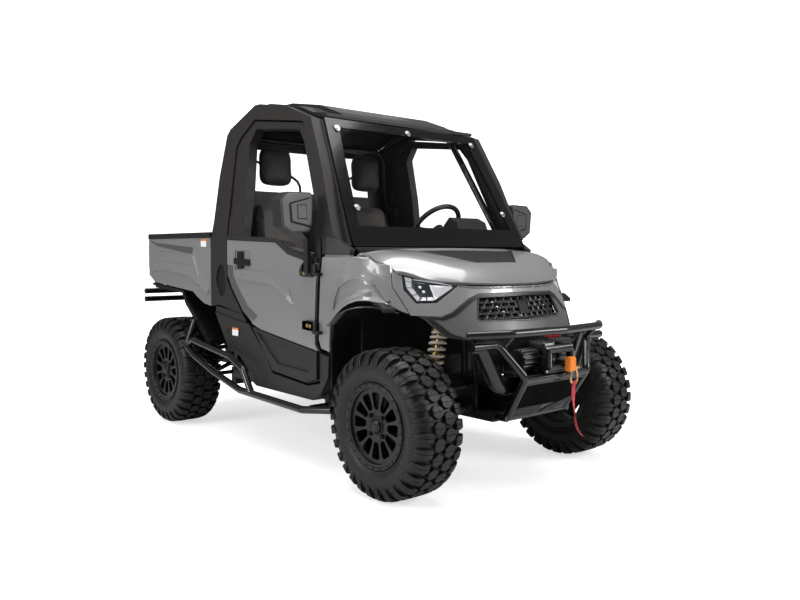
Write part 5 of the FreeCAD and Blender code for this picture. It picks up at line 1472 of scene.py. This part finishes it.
# %% [markdown]
# The hinge arms belong to the fenders, which are silver, but on the real door
# they are black. A thin black skin over each arm shows that.

# %% Hinge arm covers
ARM_OUTER = [(0.5554, 0.7094), (0.6046, 0.7094), (0.6046, 0.7286), (0.5554, 0.7286)]
ARM_INNER = [(0.5840, 0.6894), (0.6046, 0.6894), (0.6046, 0.7094), (0.5770, 0.7094)]


def on_level(side, low):
    """Places length, width and lift above a level."""
    def place(x, y, lift):
        return np.stack([x, side * y, low + lift], -1)
    return place


arm_covers = []
for side in (-1.0, 1.0):
    for low in (0.7120, 1.0000):
        for outline in (ARM_OUTER, ARM_INNER):
            arm_covers.append(raised(outline, -0.0006, 0.0146, 0.0005, on_level(side, low)))
add_parts("hinge_arm_covers", arm_covers, mirror_black, "chassis", "frame_black")
print("hinge arm covers", len(arm_covers))

# %% [markdown]
# Mirrors. The housing's front face has a tapered panel inside a dark groove,
# with a small square in it, and the glass faces the driver.

# %% Mirrors
def mirror_pieces(side, name):
    """The housing's front with its sunk groove and its raised panel, and the
    glass on the driver's side of the housing."""
    def on_back(y, z, height):
        return np.stack([0.575 + height, side * y, z], -1)

    def on_front(y, z, height):
        return np.stack([0.500 - height, side * y, z], -1)
    shell = rounded([(0.748, 1.220), (0.858, 1.212), (0.904, 1.244), (0.916, 1.362), (0.877, 1.398),
                     (0.746, 1.402)], 0.012, 4)
    groove = rounded([(0.750, 1.236), (0.868, 1.258), (0.876, 1.352), (0.750, 1.386)], 0.008, 4)
    panel = rounded([(0.746, 1.243), (0.858, 1.264), (0.866, 1.346), (0.746, 1.379)], 0.008, 4)
    notch = [(0.832, 1.346), (0.778, 1.347), (0.772, 1.276), (0.828, 1.276)]
    body = "door_" + name
    relief = [raised(shell, -0.010, 0.0035, 0.0035, on_back), raised(panel, 0.0, 0.0080, 0.003, on_back),
              raised(grown(notch, -0.004), 0.0, 0.0100, 0.002, on_back)]
    add_parts("mirror_panel_" + name, relief, mirror_grey, body, "mirror_shell")
    sunk = [raised(groove, 0.0, 0.0039, 0.0002, on_back), raised(notch, 0.0, 0.0084, 0.0002, on_back)]
    add_parts("mirror_groove_" + name, sunk, liner_black, body, "mirror_shell")
    # The mirror glass carries a faint painted glow from its reflector finish.
    glass = raised(shell, -0.002, 0.0015, 0.001, on_front)
    add_piece("mirror_glass_" + name, *glass, mirror_glass, body, "clear_glass")


for name, side in SIDES.items():
    mirror_pieces(side, name)
print("mirrors", len(SIDES))

# %% [markdown]
# Winch. Rope lies in turns on the drum, and the motor has round ribs along
# its side. Both are the same small form set out evenly.

# %% Winch drum and motor
rope = []
for step in range(9):
    y = -0.060 + step * 0.0133
    rope.append(revolved([(0.0301, y - 0.006), (0.0335, y - 0.003), (0.0345, y), (0.0335, y + 0.003),
                          (0.0301, y + 0.006), (0.0301, y - 0.006)], (1.425, 0.0, 0.626), 40))
add_parts("winch_rope_turns", rope, shaft_steel, "chassis", "winch_black", smooth=70.0)

motor = []
on_motor_side = beside(1.0, -0.196)
for step in range(14):
    turn = step * 2 * np.pi / 14
    middle = (1.425 + 0.0455 * math.sin(turn), 0.626 + 0.0455 * math.cos(turn))
    motor.append(raised(polygon(8, 0.006, middle), 0.0, 0.100, 0.002, on_motor_side))
add_parts("winch_motor_ribs", motor, winch_black, "chassis", "winch_black")
print("rope turns", len(rope), "and motor ribs", len(motor))

# %% [markdown]
# Beside the drum sit a control box with a blank plate, a relay cover and a red
# lever. Bright fasteners and two fairlead rollers catch the light.

# %% Winch housings and fasteners
def box_on(x_low, x_high, y_low, y_high, z_low, z_high, bevel=0.003):
    """A housing between two planes square to x, with a bevelled front rim."""
    outline = [(y_low, z_low), (y_high, z_low), (y_high, z_high), (y_low, z_high)]
    return raised(rounded(outline, bevel * 1.5, 3), 0.0, x_high - x_low, bevel, facing(x_low))


def fastener(x, y, z, radius=0.0065, stand=0.006):
    """A small six-sided bolt head that faces forward."""
    return raised(polygon(6, radius, (y, z)), 0.0, stand, 0.001, facing(x))


housings = [box_on(1.395, 1.478, -0.075, 0.010, 0.660, 0.704),
            box_on(1.440, 1.500, -0.078, -0.004, 0.572, 0.640)]
add_parts("winch_control_housing", housings, winch_black, "chassis", "winch_black")
add_piece("winch_relay_cover", *box_on(1.430, 1.512, 0.020, 0.100, 0.692, 0.716), mirror_black, "chassis",
          "winch_black")
add_piece("winch_blank_plate", *box_on(1.4775, 1.4800, -0.062, 0.004, 0.668, 0.696, 0.001), label_white,
          "chassis", "winch_black")
add_piece("winch_lever", *box_on(1.400, 1.452, 0.030, 0.095, 0.716, 0.734), red_part, "chassis", "strap_red")
add_piece("guard_air_dam", *box_on(1.318, 1.324, -0.300, 0.300, 0.590, 0.718), liner_black, "chassis",
          "black_plastic")
chrome = [fastener(1.512, y, z) for y in (-0.092, 0.092) for z in (0.575, 0.682)]
chrome += [fastener(1.500, -0.030, 0.623), fastener(1.500, -0.034, 0.588), fastener(1.500, -0.066, 0.609)]
chrome += [fastener(1.478, y, 0.699, 0.005) for y in (-0.068, 0.004)]
chrome.append(strip([(-0.092, 0.6840), (0.092, 0.6840)], [(-0.092, 0.6785), (0.092, 0.6785)],
                    (0.0, 0.0035, 0.0035, 0.0), facing(1.512), 2))
chrome += [tube([(1.5325, y, 0.594), (1.5325, y, 0.626), (1.5325, y, 0.658)], 0.0022, 10, (1, 0, 0))
           for y in (-0.084, 0.084)]
add_parts("winch_fasteners", chrome, bright_steel, "chassis", "hook_gold")
print("bright winch parts", len(chrome))

# %% [markdown]
# Hook. The line ends in an orange stopper, and below it hangs a gold shackle
# with a pin, which holds the red strap. The shackle is a tube bent through
# places on both sides of its middle.

# %% Winch hook
HOOK_X = 1.546
add_piece("winch_hook_stopper", *box_on(1.5335, 1.5620, 0.018, 0.068, 0.566, 0.634, 0.006), orange_part,
          "chassis", "hook_gold")
shackle = np.array([(0.056, 0.578), (0.050, 0.562), (0.046, 0.545), (0.045, 0.528), (0.049, 0.515),
                    (0.058, 0.5095), (0.070, 0.508), (0.082, 0.5095), (0.091, 0.515), (0.095, 0.528),
                    (0.094, 0.545), (0.090, 0.562), (0.084, 0.578)])
shackle_path = np.stack([np.full(len(shackle), HOOK_X), shackle[:, 0], shackle[:, 1]], -1)
metal = [tube(shackle_path, 0.0062, 14, (1, 0, 0)),
         tube([(HOOK_X, 0.044, 0.580), (HOOK_X, 0.070, 0.580), (HOOK_X, 0.096, 0.580)], 0.0068, 16),
         tube([(HOOK_X, 0.096, 0.580), (HOOK_X, 0.099, 0.580), (HOOK_X, 0.102, 0.580)], 0.0100, 16),
         tube([(HOOK_X, 0.070, 0.580), (HOOK_X, 0.068, 0.592), (HOOK_X, 0.064, 0.604)],
              0.0075, 14, (1, 0, 0))]
hook = add_parts("winch_hook_shackle", metal, hook_gold, "chassis", "hook_gold")
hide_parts("winch_hook")
line = tube([(1.4577, 0.0, 0.630), (1.498, 0.020, 0.618), (1.536, 0.040, 0.606)], 0.004, 12)
add_piece("winch_line", *line, shaft_steel, "chassis", "winch_black")
print("hook parts", len(metal))

# %% [markdown]
# Guard plate. The sloping plate under the winch is in deep shade, which a
# near-black panel on it paints in. On it lie a lower plate, a brace and bolts.
# Its own measures are width, height and lift.

# %% Guard plate
SKID_FOOT_X = 1.390
SKID_FOOT_Z = 0.352
SKID_SLOPE = (1.500 - SKID_FOOT_X) / (0.520 - SKID_FOOT_Z)


def on_skid(y, z, lift):
    """Width, height and lift on the plane that rises forward from its foot."""
    lean = math.hypot(1.0, SKID_SLOPE)
    x = SKID_FOOT_X + (z - SKID_FOOT_Z) * SKID_SLOPE
    return np.stack([x + lift / lean, y, z - lift * SKID_SLOPE / lean], -1)


SHADED = [(-0.200, 0.398), (0.200, 0.398), (0.205, 0.516), (-0.205, 0.516)]
LOWER_PLATE = [(-0.195, 0.356), (-0.010, 0.356), (-0.004, 0.402), (-0.195, 0.402)]
BRACE_HIGH = [(-0.010, 0.356), (0.060, 0.384), (0.195, 0.418)]
BRACE_LOW = [(0.050, 0.356), (0.110, 0.362), (0.197, 0.392)]
# A near-black panel over the plate is painted shade.
shade = raised(SHADED, -0.001, 0.0015, 0.0005, on_skid)
add_piece("guard_painted_shade_panel", *shade, shade_black, "chassis", "black_plastic")
straps = [raised(LOWER_PLATE, 0.0, 0.0040, 0.001, on_skid),
          strip(BRACE_HIGH, BRACE_LOW, (0.0, 0.0040, 0.0040, 0.0), on_skid, 3)]
add_parts("guard_lower_plate", straps, frame_black, "chassis", "tube_black")
holes = [raised(polygon(14, 0.006, (y, z)), 0.003, 0.0046, 0.0005, on_skid)
         for y, z in ((-0.061, 0.390), (-0.032, 0.368), (0.060, 0.369), (0.150, 0.394), (-0.160, 0.380))]
add_parts("guard_plate_bolts", holes, winch_black, "chassis", "tube_black")
print("guard bolts", len(holes))

# %% [markdown]
# Last comes the box of the dressed object, which is printed.

# %% Sizes and finish
low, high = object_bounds()
print("visual from", tuple(low), "to", tuple(high))
